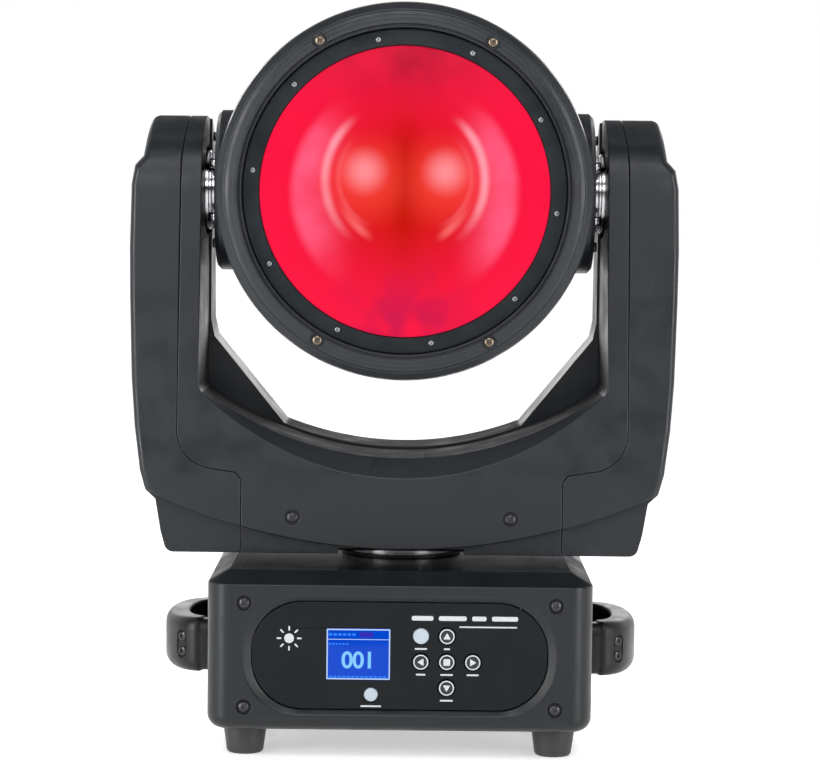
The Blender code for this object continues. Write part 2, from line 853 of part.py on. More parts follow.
def make_yoke_covers():
    shell = yoke_solid("yoke_skin", 0.0)
    hollow = baked(yoke_solid("yoke_hollow", YOKE_WALL))
    cut(shell, hollow)
    cut(shell, cut_bar("pan_clearance", 24.0, YOKE_LOW - 20, YOKE_LOW + 6, "Z", (0, 0, 0), 32))
    for i, side in enumerate((-1, 1)):
        low, high = sorted((side * 105.0, side * 120.0))
        cut(shell, cut_bar(f"tilt_clearance_{i}", 26.0, low, high, "X", (0, 0, TILT_Z), 32))
    shell = as_cutter(baked(shell))
    front = shell_piece(
        "yoke_front_cover", shell, middle_region("front_region", -90, SEAM_Y - GAP / 2)
    )
    for i, x in enumerate((-COVER_SCREW_X, COVER_SCREW_X)):
        place = (x, 0, COVER_SCREW_Z)
        cut(front, cut_bar(f"cover_pocket_{i}", 4.2, -65, -56, "Y", place, 16))
    rear = shell_piece(
        "yoke_rear_cover", shell, middle_region("rear_region", SEAM_Y + GAP / 2, 90)
    )
    tray = shell_piece("yoke_undertray", shell, tray_region())
    left = shell_piece("arm_cover_left", shell, arm_region("left_region", -1))
    right = shell_piece("arm_cover_right", shell, arm_region("right_region", 1))
    return [front, rear, tray, left, right]


def make_yoke_frame():
    """A folded metal U inside the covers, with round holes for the pan and tilt bearings."""
    low = YOKE_LOW + YOKE_WALL + GAP
    high = TILT_Z + 60
    inside = FRAME_HALF - FRAME_THICK
    outline = [
        (-FRAME_HALF, high),
        (-FRAME_HALF, low),
        (FRAME_HALF, low),
        (FRAME_HALF, high),
        (inside, high),
        (inside, low + FRAME_THICK),
        (-inside, low + FRAME_THICK),
        (-inside, high),
    ]
    depth = FRAME_HALF_DEPTH
    frame = prism("yoke_frame", [outline], -depth, depth, "Y", FRAME_METAL)
    tip_radius = depth + 0.5
    tip = arc(0, TILT_Z, tip_radius, 0, 180, 16) + [(-tip_radius, 0), (tip_radius, 0)]
    keep(frame, prism("frame_tips", [tip], -200, 200, "X", collection=CUTTERS))
    cut(
        frame,
        cut_bar("frame_pan_hole", 24.0, low - 5, low + 8, "Z", (0, 0, 0), 32),
        cut_bar("frame_tilt_holes", 24.3, -140, 140, "X", (0, 0, TILT_Z), 32),
        cut_bar("frame_motor_hole", 12.0, 110, 140, "X", (0, 0, TILT_Z + TILT_MOTOR_DROP), 24),
    )
    return frame


def make_bearings():
    low = YOKE_LOW + YOKE_WALL + GAP + FRAME_THICK + GAP
    high = low + BEARING_HEIGHT
    pan = tube("pan_bearing", PAN_SHAFT + GAP, COLLAR_RADIUS, low, high, "Z", (0, 0, 0), STEEL)
    made = [pan]
    for name, near, far in (("tilt_bearing_left", -128.8, -119), ("tilt_bearing_right", 119, 128.8)):
        made.append(tube(name, TILT_SHAFT + GAP, 24, near, far, "X", (0, 0, TILT_Z), STEEL))
    return made


def make_pan_drive():
    low = YOKE_LOW + YOKE_WALL + 2 * GAP + FRAME_THICK
    x = PAN_MOTOR_X
    corner = (x + MOTOR_HALF, MOTOR_HALF, low + 32)
    motor = block("pan_motor", (x - MOTOR_HALF, -MOTOR_HALF, low), corner, RING_BLACK, bevel=2)
    shaft = cut_bar("pan_motor_shaft", MOTOR_SHAFT, low + 20, PAN_PULLEY_HIGH, "Z", (x, 0, 0), 16)
    fuse(motor, shaft)
    loops = [
        belt_loop((0, 0), PAN_PULLEY + GAP + grow, (x, 0), MOTOR_PULLEY + GAP + grow)
        for grow in (BELT_THICK, 0)
    ]
    belt = prism("pan_belt", loops, PAN_PULLEY_LOW + 1, PAN_PULLEY_HIGH - 1, "Z", RUBBER)
    low, high = PAN_PULLEY_LOW, PAN_PULLEY_HIGH
    pulley = tube("pan_motor_pulley", 2.8, MOTOR_PULLEY, low, high, "Z", (x, 0, 0), ALUMINIUM, 24)
    return [motor, belt], pulley


def make_tilt_drive():
    z = TILT_Z + TILT_MOTOR_DROP
    corner = (117.5, MOTOR_HALF, z + MOTOR_HALF)
    motor = block("tilt_motor", (78, -MOTOR_HALF, z - MOTOR_HALF), corner, RING_BLACK, bevel=2)
    shaft = cut_bar("tilt_motor_shaft", MOTOR_SHAFT, 105, TILT_PULLEY_HIGH, "X", (0, 0, z), 16)
    fuse(motor, shaft)
    loops = [
        belt_loop((0, TILT_Z), TILT_PULLEY + GAP + grow, (0, z), MOTOR_PULLEY + GAP + grow)
        for grow in (BELT_THICK, 0)
    ]
    belt = prism("tilt_belt", loops, TILT_PULLEY_LOW + 1, TILT_PULLEY_HIGH - 1, "X", RUBBER)
    low, high = TILT_PULLEY_LOW, TILT_PULLEY_HIGH
    pulley = tube("tilt_motor_pulley", 2.8, MOTOR_PULLEY, low, high, "X", (0, 0, z), ALUMINIUM, 24)
    return [motor, belt], pulley


def make_yoke(pan_axis):
    pan_parts, pan_motor_pulley = make_pan_drive()
    tilt_parts, tilt_motor_pulley = make_tilt_drive()
    parts = make_yoke_covers() + make_bearings() + pan_parts + tilt_parts
    attach(pan_axis, make_yoke_frame(), *parts)
    attach(empty("pan_motor_axis", (PAN_MOTOR_X, 0, 0), pan_axis), pan_motor_pulley)
    motor_place = (0, 0, TILT_Z + TILT_MOTOR_DROP)
    attach(empty("tilt_motor_axis", motor_place, pan_axis), tilt_motor_pulley)


# ---------------------------------------------------------------- head


def head_turned(name, profile, material, steps=40):
    return turned(name, profile, "Y", (0, 0, TILT_Z), steps, material)


def hub_clearances():
    """Cutters for the round side holes that the tilt hubs stand in."""
    radius = HUB_RADIUS + GAP
    made = []
    for i, side in enumerate((-1, 1)):
        low, high = sorted((side * 80.0, side * 125.0))
        made.append(cut_bar(f"hub_clearance_{i}", radius, low, high, "X", (0, 0, TILT_Z), 36))
    return made


def make_head_shells():
    inner = HEAD_RADIUS - HEAD_WALL
    front_profile = [
        (inner, BEZEL_REAR + GAP),
        (HEAD_RADIUS, BEZEL_REAR + GAP),
        (HEAD_RADIUS, SHELL_SPLIT),
        (inner, SHELL_SPLIT),
    ]
    outside = [
        (HEAD_RADIUS, SHELL_SPLIT + GAP),
        (HEAD_RADIUS, 28),
        (103.0, 48),
        (97.0, 68),
        (88.0, 86),
        (80.0, 94),
        (74.0, HEAD_REAR),
        (0, HEAD_REAR),
    ]
    inside = [(0, HEAD_REAR - HEAD_WALL)]
    inside += [(76.0, 94), (85.0, 84), (97.5, 57)]
    inside += [(inner, 28), (inner, SHELL_SPLIT + GAP)]
    front = head_turned("head_front_shell", front_profile, SHELL_PLASTIC)
    rear = head_turned("head_rear_shell", outside + inside, SHELL_PLASTIC)
    cutters = hub_clearances()
    cut(front, *cutters)
    cut(rear, *cutters)
    for i in range(7):
        rise = VENT_PITCH * (i - 3)
        half = math.sqrt(VENT_CIRCLE**2 - rise**2)
        low = TILT_Z + rise - VENT_HEIGHT / 2
        slot = block(
            f"vent_{i}",
            (-half, HEAD_REAR - 8, low),
            (half, HEAD_REAR + 5, low + VENT_HEIGHT),
            collection=CUTTERS,
        )
        cut(rear, slot)
    return [front, rear]


def make_bezel():
    """The front ring: a flat face with a tapered flank, and a shelf for the lens behind it."""
    profile = [
        (RING_RADIUS, HEAD_FRONT + 1.0),
        (RING_RADIUS + 1.0, HEAD_FRONT),
        (100.0, HEAD_FRONT),
        (103.8, -90),
        (105.0, -81),
        (105.4, BEZEL_REAR),
        (102.2, BEZEL_REAR),
        (101.5, -84),
        (LENS_FLANGE + 1.0, -84),
        (LENS_FLANGE + 1.0, -87.7),
        (RING_RADIUS, -87.7),
    ]
    bezel = head_turned("front_bezel", profile, SHELL_PLASTIC)
    for i, angle in enumerate((60, 120, 240, 300)):
        x = BEZEL_SCREW_RADIUS * math.cos(math.radians(angle))
        z = TILT_Z + BEZEL_SCREW_RADIUS * math.sin(math.radians(angle))
        low, high = HEAD_FRONT - 2, HEAD_FRONT + 2.2
        cut(bezel, cut_bar(f"bezel_pocket_{i}", BEZEL_POCKET, low, high, "Y", (x, 0, z), 16))
    return bezel


def make_lens_plate():
    profile = [(LENS_RADIUS + GAP, -91), (RING_RADIUS - GAP, -91)]
    profile += [(RING_RADIUS - GAP, -88), (LENS_RADIUS + GAP, -88)]
    return head_turned("lens_ring", profile, RING_BLACK)


def make_front_lens():
    """A domed front lens with a thin flange that the lens ring holds."""
    crown = 3.4
    steps = 5
    dome = []
    for i in range(steps + 1):
        rise = crown * (1 - (i / steps) ** 2)
        dome.append(((LENS_RADIUS - GAP) * i / steps, -90.6 - rise))
    profile = dome + [
        (LENS_RADIUS - GAP, -87.6),
        (LENS_FLANGE, -87.6),
        (LENS_FLANGE, -84.6),
        (0, -84.6),
    ]
    return head_turned("front_lens", profile, LENS_GLASS)


def make_hub(name, side):
    """A tilt hub: a round disc in the head's side, a bright collar and the hollow tilt shaft."""
    profile = [
        (HUB_BORE, 92),
        (HUB_RADIUS, 92),
        (HUB_RADIUS, HUB_FACE - 2),
        (HUB_RADIUS - 2, HUB_FACE),
        (HUB_COLLAR, HUB_FACE),
        (HUB_COLLAR, HUB_COLLAR_END),
        (TILT_SHAFT, HUB_COLLAR_END),
        (TILT_SHAFT, HUB_END),
        (HUB_BORE, HUB_END),
    ]
    profile = [(radius, side * along) for radius, along in profile]
    return turned(name, profile, "X", (0, 0, TILT_Z), 36, SHELL_PLASTIC)


def make_tilt_pulley():
    low, high = TILT_PULLEY_LOW, TILT_PULLEY_HIGH
    centre = (0, 0, TILT_Z)
    return tube("tilt_pulley", TILT_SHAFT + GAP, TILT_PULLEY, low, high, "X", centre, ALUMINIUM)


def rod_places():
    reach = ROD_CIRCLE * math.sqrt(0.5)
    return [(-reach, reach), (reach, reach)]


def make_chassis():
    """The plate across the head that carries the lamp, the heat sink and the zoom rods."""
    outline = arc(0, TILT_Z, 90.0, 0, 352.5, 47)
    screw = arc(0, TILT_Z - SCREW_CIRCLE, SCREW_RADIUS + 0.4, 0, 337.5, 15)
    return prism("head_chassis", [outline, screw], CHASSIS_FRONT, CHASSIS_REAR, "Y", FRAME_METAL)


def make_lamp():
    back = CHASSIS_FRONT - GAP
    profile = [(0, -9), (40, -9), (58, -6), (60, back), (0, back)]
    return head_turned("led_module", profile, ALUMINIUM, 24)


def make_heat_sink():
    """A finned block, seen from above as a comb."""
    half = 55.0
    fins = 12
    fin = 3.0
    pitch = (2 * half - fin) / (fins - 1)
    base = CHASSIS_REAR + GAP
    outline = [(-half, base)]
    for i in range(fins):
        left = -half + i * pitch
        outline += [(left, 46.0), (left + fin, 46.0)]
        if i < fins - 1:
            outline += [(left + fin, 8.0), (left + pitch, 8.0)]
    outline.append((half, base))
    return prism("heat_sink", [outline], TILT_Z - half, TILT_Z + half, "Z", ALUMINIUM)


def make_fan():
    """A square fan frame with a motor plate on three arms, and the rotor that turns in it."""
    outline = rounded_rectangle(92, 92, 6, 3, 0, TILT_Z)
    hole = arc(0, TILT_Z, FAN_HOLE, 0, 345, 23)
    frame = prism("fan_frame", [outline, hole], 50, 72, "Y", INNER_PLASTIC)
    fuse(frame, cut_bar("fan_motor_plate", 16.0, 69.5, 72, "Y", (0, 0, TILT_Z), 24))
    for i in range(3):
        arm = block(f"fan_arm_{i}", (10, 69.8, -2.5), (FAN_HOLE + 2, 71.8, 2.5), collection=CUTTERS)
        turn = Matrix.Rotation(math.radians(90 + 120 * i), 4, "Y")
        arm.matrix_world = Matrix.Translation((0, 0, TILT_Z * MM)) @ turn @ arm.matrix_basis
        fuse(frame, arm)
    rotor = rod("fan_rotor", 15.0, 53, 68, "Y", (0, 0, TILT_Z), INNER_PLASTIC, steps=28)
    for i in range(7):
        blade = block(f"fan_blade_{i}", (-1, -9, 12), (1, 9, 39.5), collection=CUTTERS)
        pitch = Matrix.Rotation(math.radians(48), 4, "Z")
        turn = Matrix.Rotation(math.tau * i / 7, 4, "Y")
        place = Matrix.Translation((0, 60.5 * MM, TILT_Z * MM))
        blade.matrix_world = place @ turn @ pitch @ blade.matrix_basis
        fuse(rotor, blade)
    return frame, rotor


def make_zoom():
    """Guide rods, a lead screw with its motor, and the lens that rides on them."""
    rods = []
    for name, (x, z) in zip(("zoom_rod_left", "zoom_rod_right"), rod_places()):
        place = (x, 0, TILT_Z + z)
        rods.append(rod(name, ROD_RADIUS, -80, CHASSIS_FRONT - GAP, "Y", place, STEEL, steps=16))
    low = TILT_Z - SCREW_CIRCLE
    motor = block("zoom_motor", (-14, 1.3, low - 14), (14, 22, low + 14), RING_BLACK, bevel=1.5)
    screw = rod("zoom_screw", SCREW_RADIUS, -80, 0.9, "Y", (0, 0, low), STEEL, steps=16)
    plate = [(0, -30), (30, -28.5), (58, -24), (88, -24), (88, -18), (58, -18), (0, -18)]
    lens = head_turned("zoom_lens", plate, OPTIC_GLASS, 36)
    for i, (x, z) in enumerate(rod_places()):
        cut(lens, cut_bar(f"rod_hole_{i}", ROD_RADIUS + 0.4, -40, -10, "Y", (x, 0, TILT_Z + z), 16))
    cut(lens, cut_bar("screw_hole", SCREW_RADIUS + 0.4, -40, -10, "Y", (0, 0, low), 16))
    return rods + [motor], screw, lens


def make_head(pan_axis):
    tilt_axis = empty("tilt_axis", (0, 0, TILT_Z), pan_axis)
    fan_frame, fan_rotor = make_fan()
    zoom_parts, zoom_screw, zoom_lens = make_zoom()
    parts = make_head_shells() + [
        make_bezel(),
        make_lens_plate(),
        make_front_lens(),
        make_hub("tilt_hub_left", -1),
        make_hub("tilt_hub_right", 1),
        make_tilt_pulley(),
        make_chassis(),
        make_lamp(),
        make_heat_sink(),
        fan_frame,
        *zoom_parts,
    ]
    attach(tilt_axis, *parts)
    attach(empty("fan_axis", (0, 0, TILT_Z), tilt_axis), fan_rotor)
    attach(empty("zoom_screw_axis", (0, 0, TILT_Z - SCREW_CIRCLE), tilt_axis), zoom_screw)
    attach(empty("zoom_slide", (0, 0, TILT_Z), tilt_axis), zoom_lens)


def shade_smooth():
    """Round pieces are smooth, and edges sharper than 35 degrees stay sharp."""
    for obj in PARTS.objects:
        if obj.type == "MESH":
            obj.data.shade_smooth()
            obj.data.set_sharp_from_angle(angle=math.radians(35))


def main():
    make_base()
    pan_axis = empty("pan_axis", (0, 0, 0))
    make_yoke(pan_axis)
    make_head(pan_axis)
    shade_smooth()


main()
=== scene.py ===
"""Looks of the moving head light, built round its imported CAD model.

Blender works in metres. The dimensions below are in millimetres, and every helper turns them into
metres with MM.
Outlines are lists of (across, up) points, and turned profiles are lists of (radius, along) points.
"""

import json
import math

import bmesh
import bpy
from mathutils import Matrix, Vector


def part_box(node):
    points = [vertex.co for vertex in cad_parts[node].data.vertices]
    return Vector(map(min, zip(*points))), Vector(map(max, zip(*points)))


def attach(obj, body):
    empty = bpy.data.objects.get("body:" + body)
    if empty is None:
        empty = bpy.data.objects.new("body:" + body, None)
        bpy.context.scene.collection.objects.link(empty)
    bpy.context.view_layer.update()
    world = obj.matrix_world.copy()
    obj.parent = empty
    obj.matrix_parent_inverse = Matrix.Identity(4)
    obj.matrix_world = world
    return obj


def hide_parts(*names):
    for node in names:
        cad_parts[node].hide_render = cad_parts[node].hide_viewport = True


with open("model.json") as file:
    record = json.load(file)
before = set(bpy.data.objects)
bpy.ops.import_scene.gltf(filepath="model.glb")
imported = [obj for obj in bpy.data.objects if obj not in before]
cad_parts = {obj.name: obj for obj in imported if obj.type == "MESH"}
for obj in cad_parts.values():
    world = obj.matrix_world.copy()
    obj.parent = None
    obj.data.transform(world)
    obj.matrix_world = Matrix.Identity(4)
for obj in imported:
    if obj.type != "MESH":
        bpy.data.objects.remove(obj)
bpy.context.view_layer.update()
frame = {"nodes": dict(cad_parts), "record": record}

MM = 0.001
WELD = 0.000002


def node_box(node):
    """The lowest and highest corners of a CAD node, in millimetres."""
    low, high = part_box(node)
    return low / MM, high / MM


# Places read from the CAD model
BASE_LOW, BASE_HIGH = node_box("base_housing")
PANEL_LOW, PANEL_HIGH = node_box("control_panel")
DISPLAY_LOW, DISPLAY_HIGH = node_box("lcd_display")
REAR_LOW, REAR_HIGH = node_box("rear_panel")
HANDLE_LOW, HANDLE_HIGH = node_box("handle_right")
COLLAR_LOW, COLLAR_HIGH = node_box("pan_shaft")
YOKE_LOW = node_box("arm_cover_right")[0].z
YOKE_FRONT = node_box("yoke_front_cover")[0].y
SEAM_Y = node_box("yoke_front_cover")[1].y
LENS_LOW, LENS_HIGH = node_box("front_lens")
RING_LOW, RING_HIGH = node_box("lens_ring")
BEZEL_LOW, BEZEL_HIGH = node_box("front_bezel")
SHELL_LOW, SHELL_HIGH = node_box("head_front_shell")
HEAD_REAR = node_box("head_rear_shell")[1].y
HUB_LOW, HUB_HIGH = node_box("tilt_hub_right")
TILT_Z = (HUB_LOW.z + HUB_HIGH.z) / 2
PANEL_Z = (PANEL_LOW.z + PANEL_HIGH.z) / 2
PANEL_FACE = PANEL_LOW.y
YOKE_BOTTOM = YOKE_LOW - TILT_Z

# Widths, rounds and places, most of them as in the CAD model
GAP = 0.3
BASE_SHOULDER = BASE_HIGH.z - 7.0
BASE_CHAMFER = 12.0
BASE_SIDE_ROUND = 14.0
BASE_FOOT_ROUND = 8.0
BASE_WALL = 3.0
PANEL_ROUND = 28.0
KEY_RIM = 1.2
LABEL_WIDTHS = {"mode": 6.8, "up": 3.4, "left": 5.2, "enter": 7.0, "right": 6.6, "down": 7.2, "power": 11.5}
TITLE_WIDTHS = (12.0, 15.5, 8.0, 14.5)
TITLE_LEFT = 6.5
TITLE_Z = 80.6
SUBTITLE = (49.0, 75.9, 32.0, 0.8)
SUN_PLACE = (-61.5, 68.6)
LIP_WIDTH = 175.0
LIP_HEIGHT = 66.5
LIP_ROUND = 31.0
CORNER_SCREW_X = 86.5
CORNER_SCREW_RISE = 29.1
SOCKET_RADIUS = 11.5
SOCKET_BORE = 8.5
HANDLE_LEG = 117.0
HANDLE_DEEP = 14.5
HANDLE_END = 13.0
YOKE_WALL = 2.5
ARM_ROUND = 43.0
YOKE_HALF_DEPTH = -YOKE_FRONT
FACET_HALF_DEPTH = 52.0
MOUTH_RADIUS = 162.5
FLOOR_RADIUS = 190.0
FLOOR_LOW = -152.0
CREASE_RADIUS = 340.0
CREASE_LOW = -203.2
SEAM_FOOT = 91.4
REGION_SIDE = 200.0
REGION_TOP = 90.0
REGION_FOOT = -240.0
COVER_SCREW_X = (-62.0, 62.0)
COVER_SCREW_Z = TILT_Z - 185.3
COVER_SCREW_FACE = -56.0
HUB_FACE = 108.7
LENS_EDGE = -90.6
LENS_SEAT = -87.6
LENS_RADIUS = 80.0
RING_RADIUS = 89.9
BEZEL_SCREW_RADIUS = 95.0

AXES = {
    "X": Matrix(((0, 0, 1), (1, 0, 0), (0, 1, 0))).to_4x4(),
    "Y": Matrix(((1, 0, 0), (0, 0, 1), (0, -1, 0))).to_4x4(),
    "Z": Matrix.Identity(4),
}
OUTLINE_PLANES = {
    "X": AXES["X"],
    "Y": Matrix(((1, 0, 0), (0, 0, -1), (0, 1, 0))).to_4x4(),
    "Z": AXES["Z"],
}

# The camera: metres, degrees and millimetres of focal length
CAMERA_PLACE = (0.004, -1.63, 0.3166)
CAMERA_PITCH = 3.865
CAMERA_ROLL = 0.65
CAMERA_LENS = 122.2


# ---------------------------------------------------------------- outlines


def arc(across, up, radius, start, end, steps):
    """Points on an arc from start to end degrees, both ends included."""
    angles = [math.radians(start + (end - start) * i / steps) for i in range(steps + 1)]
    return [(across + radius * math.cos(a), up + radius * math.sin(a)) for a in angles]


def circle(across, up, radius, steps=48):
    return arc(across, up, radius, 0, 360 - 360 / steps, steps - 1)


def rounded_rectangle(width, height, radius, steps=6, across=0.0, up=0.0):
    x = width / 2 - radius
    y = height / 2 - radius
    points = arc(across + x, up + y, radius, 0, 90, steps)
    points += arc(across - x, up + y, radius, 90, 180, steps)
    points += arc(across - x, up - y, radius, 180, 270, steps)
    points += arc(across + x, up - y, radius, 270, 360, steps)
    return points


def mirrored(half):
    return half + [(-x, y) for x, y in reversed(half)]


def area(outline):
    """Positive where the outline runs anticlockwise."""
    pairs = zip(outline, outline[1:] + outline[:1])
    return sum(x0 * y1 - x1 * y0 for (x0, y0), (x1, y1) in pairs) / 2


def unit_normal(start, end):
    dx = end[0] - start[0]
    dy = end[1] - start[1]
    length = math.hypot(dx, dy)
    return (-dy / length, dx / length)


def inset(outline, distance):
    """The outline moved inwards by distance, with sharp corners kept."""
    if area(outline) < 0:
        outline = list(reversed(outline))
    moved = []
    for i, (x, y) in enumerate(outline):
        a = unit_normal(outline[i - 1], (x, y))
        b = unit_normal((x, y), outline[(i + 1) % len(outline)])
        scale = distance / (1 + a[0] * b[0] + a[1] * b[1])
        moved.append((x + (a[0] + b[0]) * scale, y + (a[1] + b[1]) * scale))
    return moved


def filleted(points, radius, steps=3):
    """The outline with each corner rounded by about radius, or less where its sides are short."""
    made = []
    for i, point in enumerate(points):
        corner = Vector(point)
        back = Vector(points[i - 1]) - corner
        ahead = Vector(points[(i + 1) % len(points)]) - corner
        on_axis = point[0] == 0
        bend = math.pi - back.angle(ahead)
        if on_axis or bend < math.radians(8):
            made.append(tuple(point))
            continue
        reach = min(radius * math.tan(bend / 2), 0.45 * back.length, 0.45 * ahead.length)
        start = corner + back.normalized() * reach
        end = corner + ahead.normalized() * reach
        for k in range(steps + 1):
            t = k / steps
            made.append(tuple(start * (1 - t) ** 2 + corner * 2 * t * (1 - t) + end * t * t))
    return made


def circle_depth(radius, low, across):
    """Height of a wide arc with its lowest point at low, at a distance across from the middle."""
    return low + radius - math.sqrt(radius * radius - across * across)


def lifted(outline):
    """An outline given from the tilt axis, in heights above the floor."""
    return [(x, z + TILT_Z) for x, z in outline]


# ---------------------------------------------------------------- building blocks


def linked(name, data):
    """A new object in the scene that shows data."""
    made = bpy.data.objects.new(name, data)
    bpy.context.scene.collection.objects.link(made)
    return made


def add(name, bm):
    """A new object with the contents of a bmesh."""
    bmesh.ops.recalc_face_normals(bm, faces=bm.faces)
    mesh = bpy.data.meshes.new(name)
    bm.to_mesh(mesh)
    bm.free()
    return linked(name, mesh)


def evaluated_mesh(obj):
    """The mesh that an object's modifiers or curve settings make."""
    bpy.context.view_layer.update()
    graph = bpy.context.evaluated_depsgraph_get()
    return bpy.data.meshes.new_from_object(obj.evaluated_get(graph))


def bake(obj):
    """Makes an object's modifiers real."""
    mesh = evaluated_mesh(obj)
    obj.modifiers.clear()
    obj.data = mesh
    return obj


def combine(obj, others, operation):
    """Booleans obj with the others, which are used up."""
    for other in others:
        step = obj.modifiers.new(operation, "BOOLEAN")
        step.operation = operation
        step.object = other
        step.solver = "EXACT"
    bake(obj)
    for other in others:
        bpy.data.objects.remove(other)
    return obj


def cut(obj, *others):
    return combine(obj, others, "DIFFERENCE")


def keep(obj, *others):
    return combine(obj, others, "INTERSECT")


def merged(name, objects):
    """One object from several that don't touch."""
    bm = bmesh.new()
    for obj in objects:
        mesh = obj.data.copy()
        mesh.transform(obj.matrix_world)
        bm.from_mesh(mesh)
        bpy.data.meshes.remove(mesh)
        bpy.data.objects.remove(obj)
    return add(name, bm)


def prism(name, outlines, low, high, axis):
    """Outlines extruded along a world axis. The first is the edge, and any others are holes."""
    curve = bpy.data.curves.new(name, "CURVE")
    curve.dimensions = "2D"
    curve.fill_mode = "BOTH"
    curve.extrude = (high - low) * MM / 2
    for outline in outlines:
        spline = curve.splines.new("POLY")
        spline.points.add(len(outline) - 1)
        for point, (x, y) in zip(spline.points, outline):
            point.co = (x * MM, y * MM, 0, 1)
        spline.use_cyclic_u = True
    holder = linked(name, curve)
    mesh = evaluated_mesh(holder)
    bpy.data.objects.remove(holder)
    middle = (low + high) / 2 * MM
    offset = {"X": (middle, 0, 0), "Y": (0, middle, 0), "Z": (0, 0, middle)}[axis]
    mesh.transform(Matrix.Translation(offset) @ OUTLINE_PLANES[axis])
    bm = bmesh.new()
    bm.from_mesh(mesh)
    bmesh.ops.remove_doubles(bm, verts=bm.verts, dist=WELD)
    bmesh.ops.dissolve_limit(bm, angle_limit=0.001, verts=bm.verts, edges=bm.edges)
    return add(name, bm)


def turned(name, profile, axis="Z", centre=(0, 0, 0), steps=40):
    """A profile turned about a world axis through centre."""
    bm = bmesh.new()
    rings = []
    for radius, along in profile:
        count = steps if radius else 1
        turns = [math.tau * i / steps for i in range(count)]
        ring = [(radius * math.cos(t) * MM, radius * math.sin(t) * MM, along * MM) for t in turns]
        rings.append([bm.verts.new(point) for point in ring])
    for near, far in zip(rings, rings[1:] + rings[:1]):
        if len(near) == 1 and len(far) == 1:
            continue
        for i in range(steps):
            j = (i + 1) % steps
            corners = (near[i % len(near)], near[j % len(near)], far[j % len(far)], far[i % len(far)])
            bm.faces.new(dict.fromkeys(corners))
    place = Matrix.Translation([c * MM for c in centre]) @ AXES[axis]
    bmesh.ops.transform(bm, matrix=place, verts=bm.verts)
    return add(name, bm)


def rod(name, radius, low, high, axis, centre, steps):
    return turned(name, [(0, low), (radius, low), (radius, high), (0, high)], axis, centre, steps)


def loft(name, sections):
    """A solid through outlines with the same number of points, each placed at its own Y."""
    bm = bmesh.new()
    rings = [[bm.verts.new((x * MM, y * MM, z * MM)) for x, z in outline] for outline, y in sections]
    for first, second in zip(rings, rings[1:]):
        for i in range(len(first)):
            j = (i + 1) % len(first)
            bm.faces.new((first[i], first[j], second[j], second[i]))
    bm.faces.new(rings[0])
    bm.faces.new(rings[-1])
    return add(name, bm)


def round_edges(bm, edges, width, segments):
    bmesh.ops.bevel(bm, geom=edges, offset=width * MM, segments=segments, profile=0.5, affect="EDGES")


def block(name, low, high, edge=0.0):
    """A box between two corners, with its edges rounded where edge is given."""
    bm = bmesh.new()
    bmesh.ops.create_cube(bm, size=1)
    size = [(b - a) * MM for a, b in zip(low, high)]
    bmesh.ops.scale(bm, vec=size, verts=bm.verts)
    bmesh.ops.translate(bm, vec=[(a + b) / 2 * MM for a, b in zip(low, high)], verts=bm.verts)
    if edge:
        round_edges(bm, bm.edges[:], edge, 2)
    return add(name, bm)


def soften(obj, width, limit=35, segments=3):
    """Rounds the edges that are sharper than limit degrees."""
    weld = obj.modifiers.new("weld", "WELD")
    weld.merge_threshold = WELD
    edge = obj.modifiers.new("edges", "BEVEL")
    edge.width = width * MM
    edge.segments = segments
    edge.limit_method = "ANGLE"
    edge.angle_limit = math.radians(limit)
    edge.miter_outer = "MITER_ARC"
    edge.use_clamp_overlap = False
    return even_shading(obj)


def even_shading(obj):
    """Keeps flat faces looking flat beside the rounded edges."""
    even = obj.modifiers.new("normals", "WEIGHTED_NORMAL")
    even.keep_sharp = True
    return obj


def dress(obj, finish, body, replaces=(), smooth=35):
    """Gives a finished piece its material, its shading and the body it rides on."""
    obj.data.materials.clear()
    obj.data.materials.append(finish)
    obj.data.shade_smooth()
    obj.data.set_sharp_from_angle(angle=math.radians(smooth))
    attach(obj, body)
    if replaces:
        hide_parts(*replaces)
    return obj


def placed(name, mesh, place, outward, finish, body, turn=0.0):
    """A piece that shares a mesh made along +Z, stood at place so that it points outward."""
    made = linked(name, mesh)
    aim = Vector((0, 0, 1)).rotation_difference(Vector(outward)).to_matrix().to_4x4()
    spin = Matrix.Rotation(math.radians(turn), 4, "Z")
    made.matrix_world = Matrix.Translation([c * MM for c in place]) @ aim @ spin
    if not mesh.materials:
        mesh.materials.append(finish)
    mesh.shade_smooth()
    mesh.set_sharp_from_angle(angle=math.radians(35))
    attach(made, body)
    return made


def place_all(name, mesh, places, outward, finish, body, step=0.0):
    """A numbered set of pieces that share a mesh, each turned step degrees beyond the last."""
    for i, place in enumerate(places):
        placed(f"{name}_{i}", mesh, place, outward, finish, body, step * i)


def pockets(places, radius, mouth):
    """Round wells to be cut for screws that face forwards, from Y = mouth to each place."""
    return [rod("pocket", radius, mouth, y, "Y", (x, 0, z), 40) for x, y, z in places]


# ---------------------------------------------------------------- materials


def link_math(tree, operation, a, b=0.0, clamp=False):
    """A Math node whose inputs are sockets or numbers. Returns its output."""
    step = tree.nodes.new("ShaderNodeMath")
    step.operation = operation
    step.use_clamp = clamp
    for socket, value in zip(step.inputs, (a, b)):
        if isinstance(value, (int, float)):
            socket.default_value = value
        else:
            tree.links.new(value, socket)
    return step.outputs[0]


def blend_colours(tree, factor, first, second):
    """A colour mixed by a factor socket, from colours or sockets."""
    step = tree.nodes.new("ShaderNodeMix")
    step.data_type = "RGBA"
    tree.links.new(factor, step.inputs["Factor"])
    for socket, value in zip((step.inputs[6], step.inputs[7]), (first, second)):
        if isinstance(value, tuple):
            socket.default_value = (*value, 1.0)
        else:
            tree.links.new(value, socket)
    return step.outputs[2]


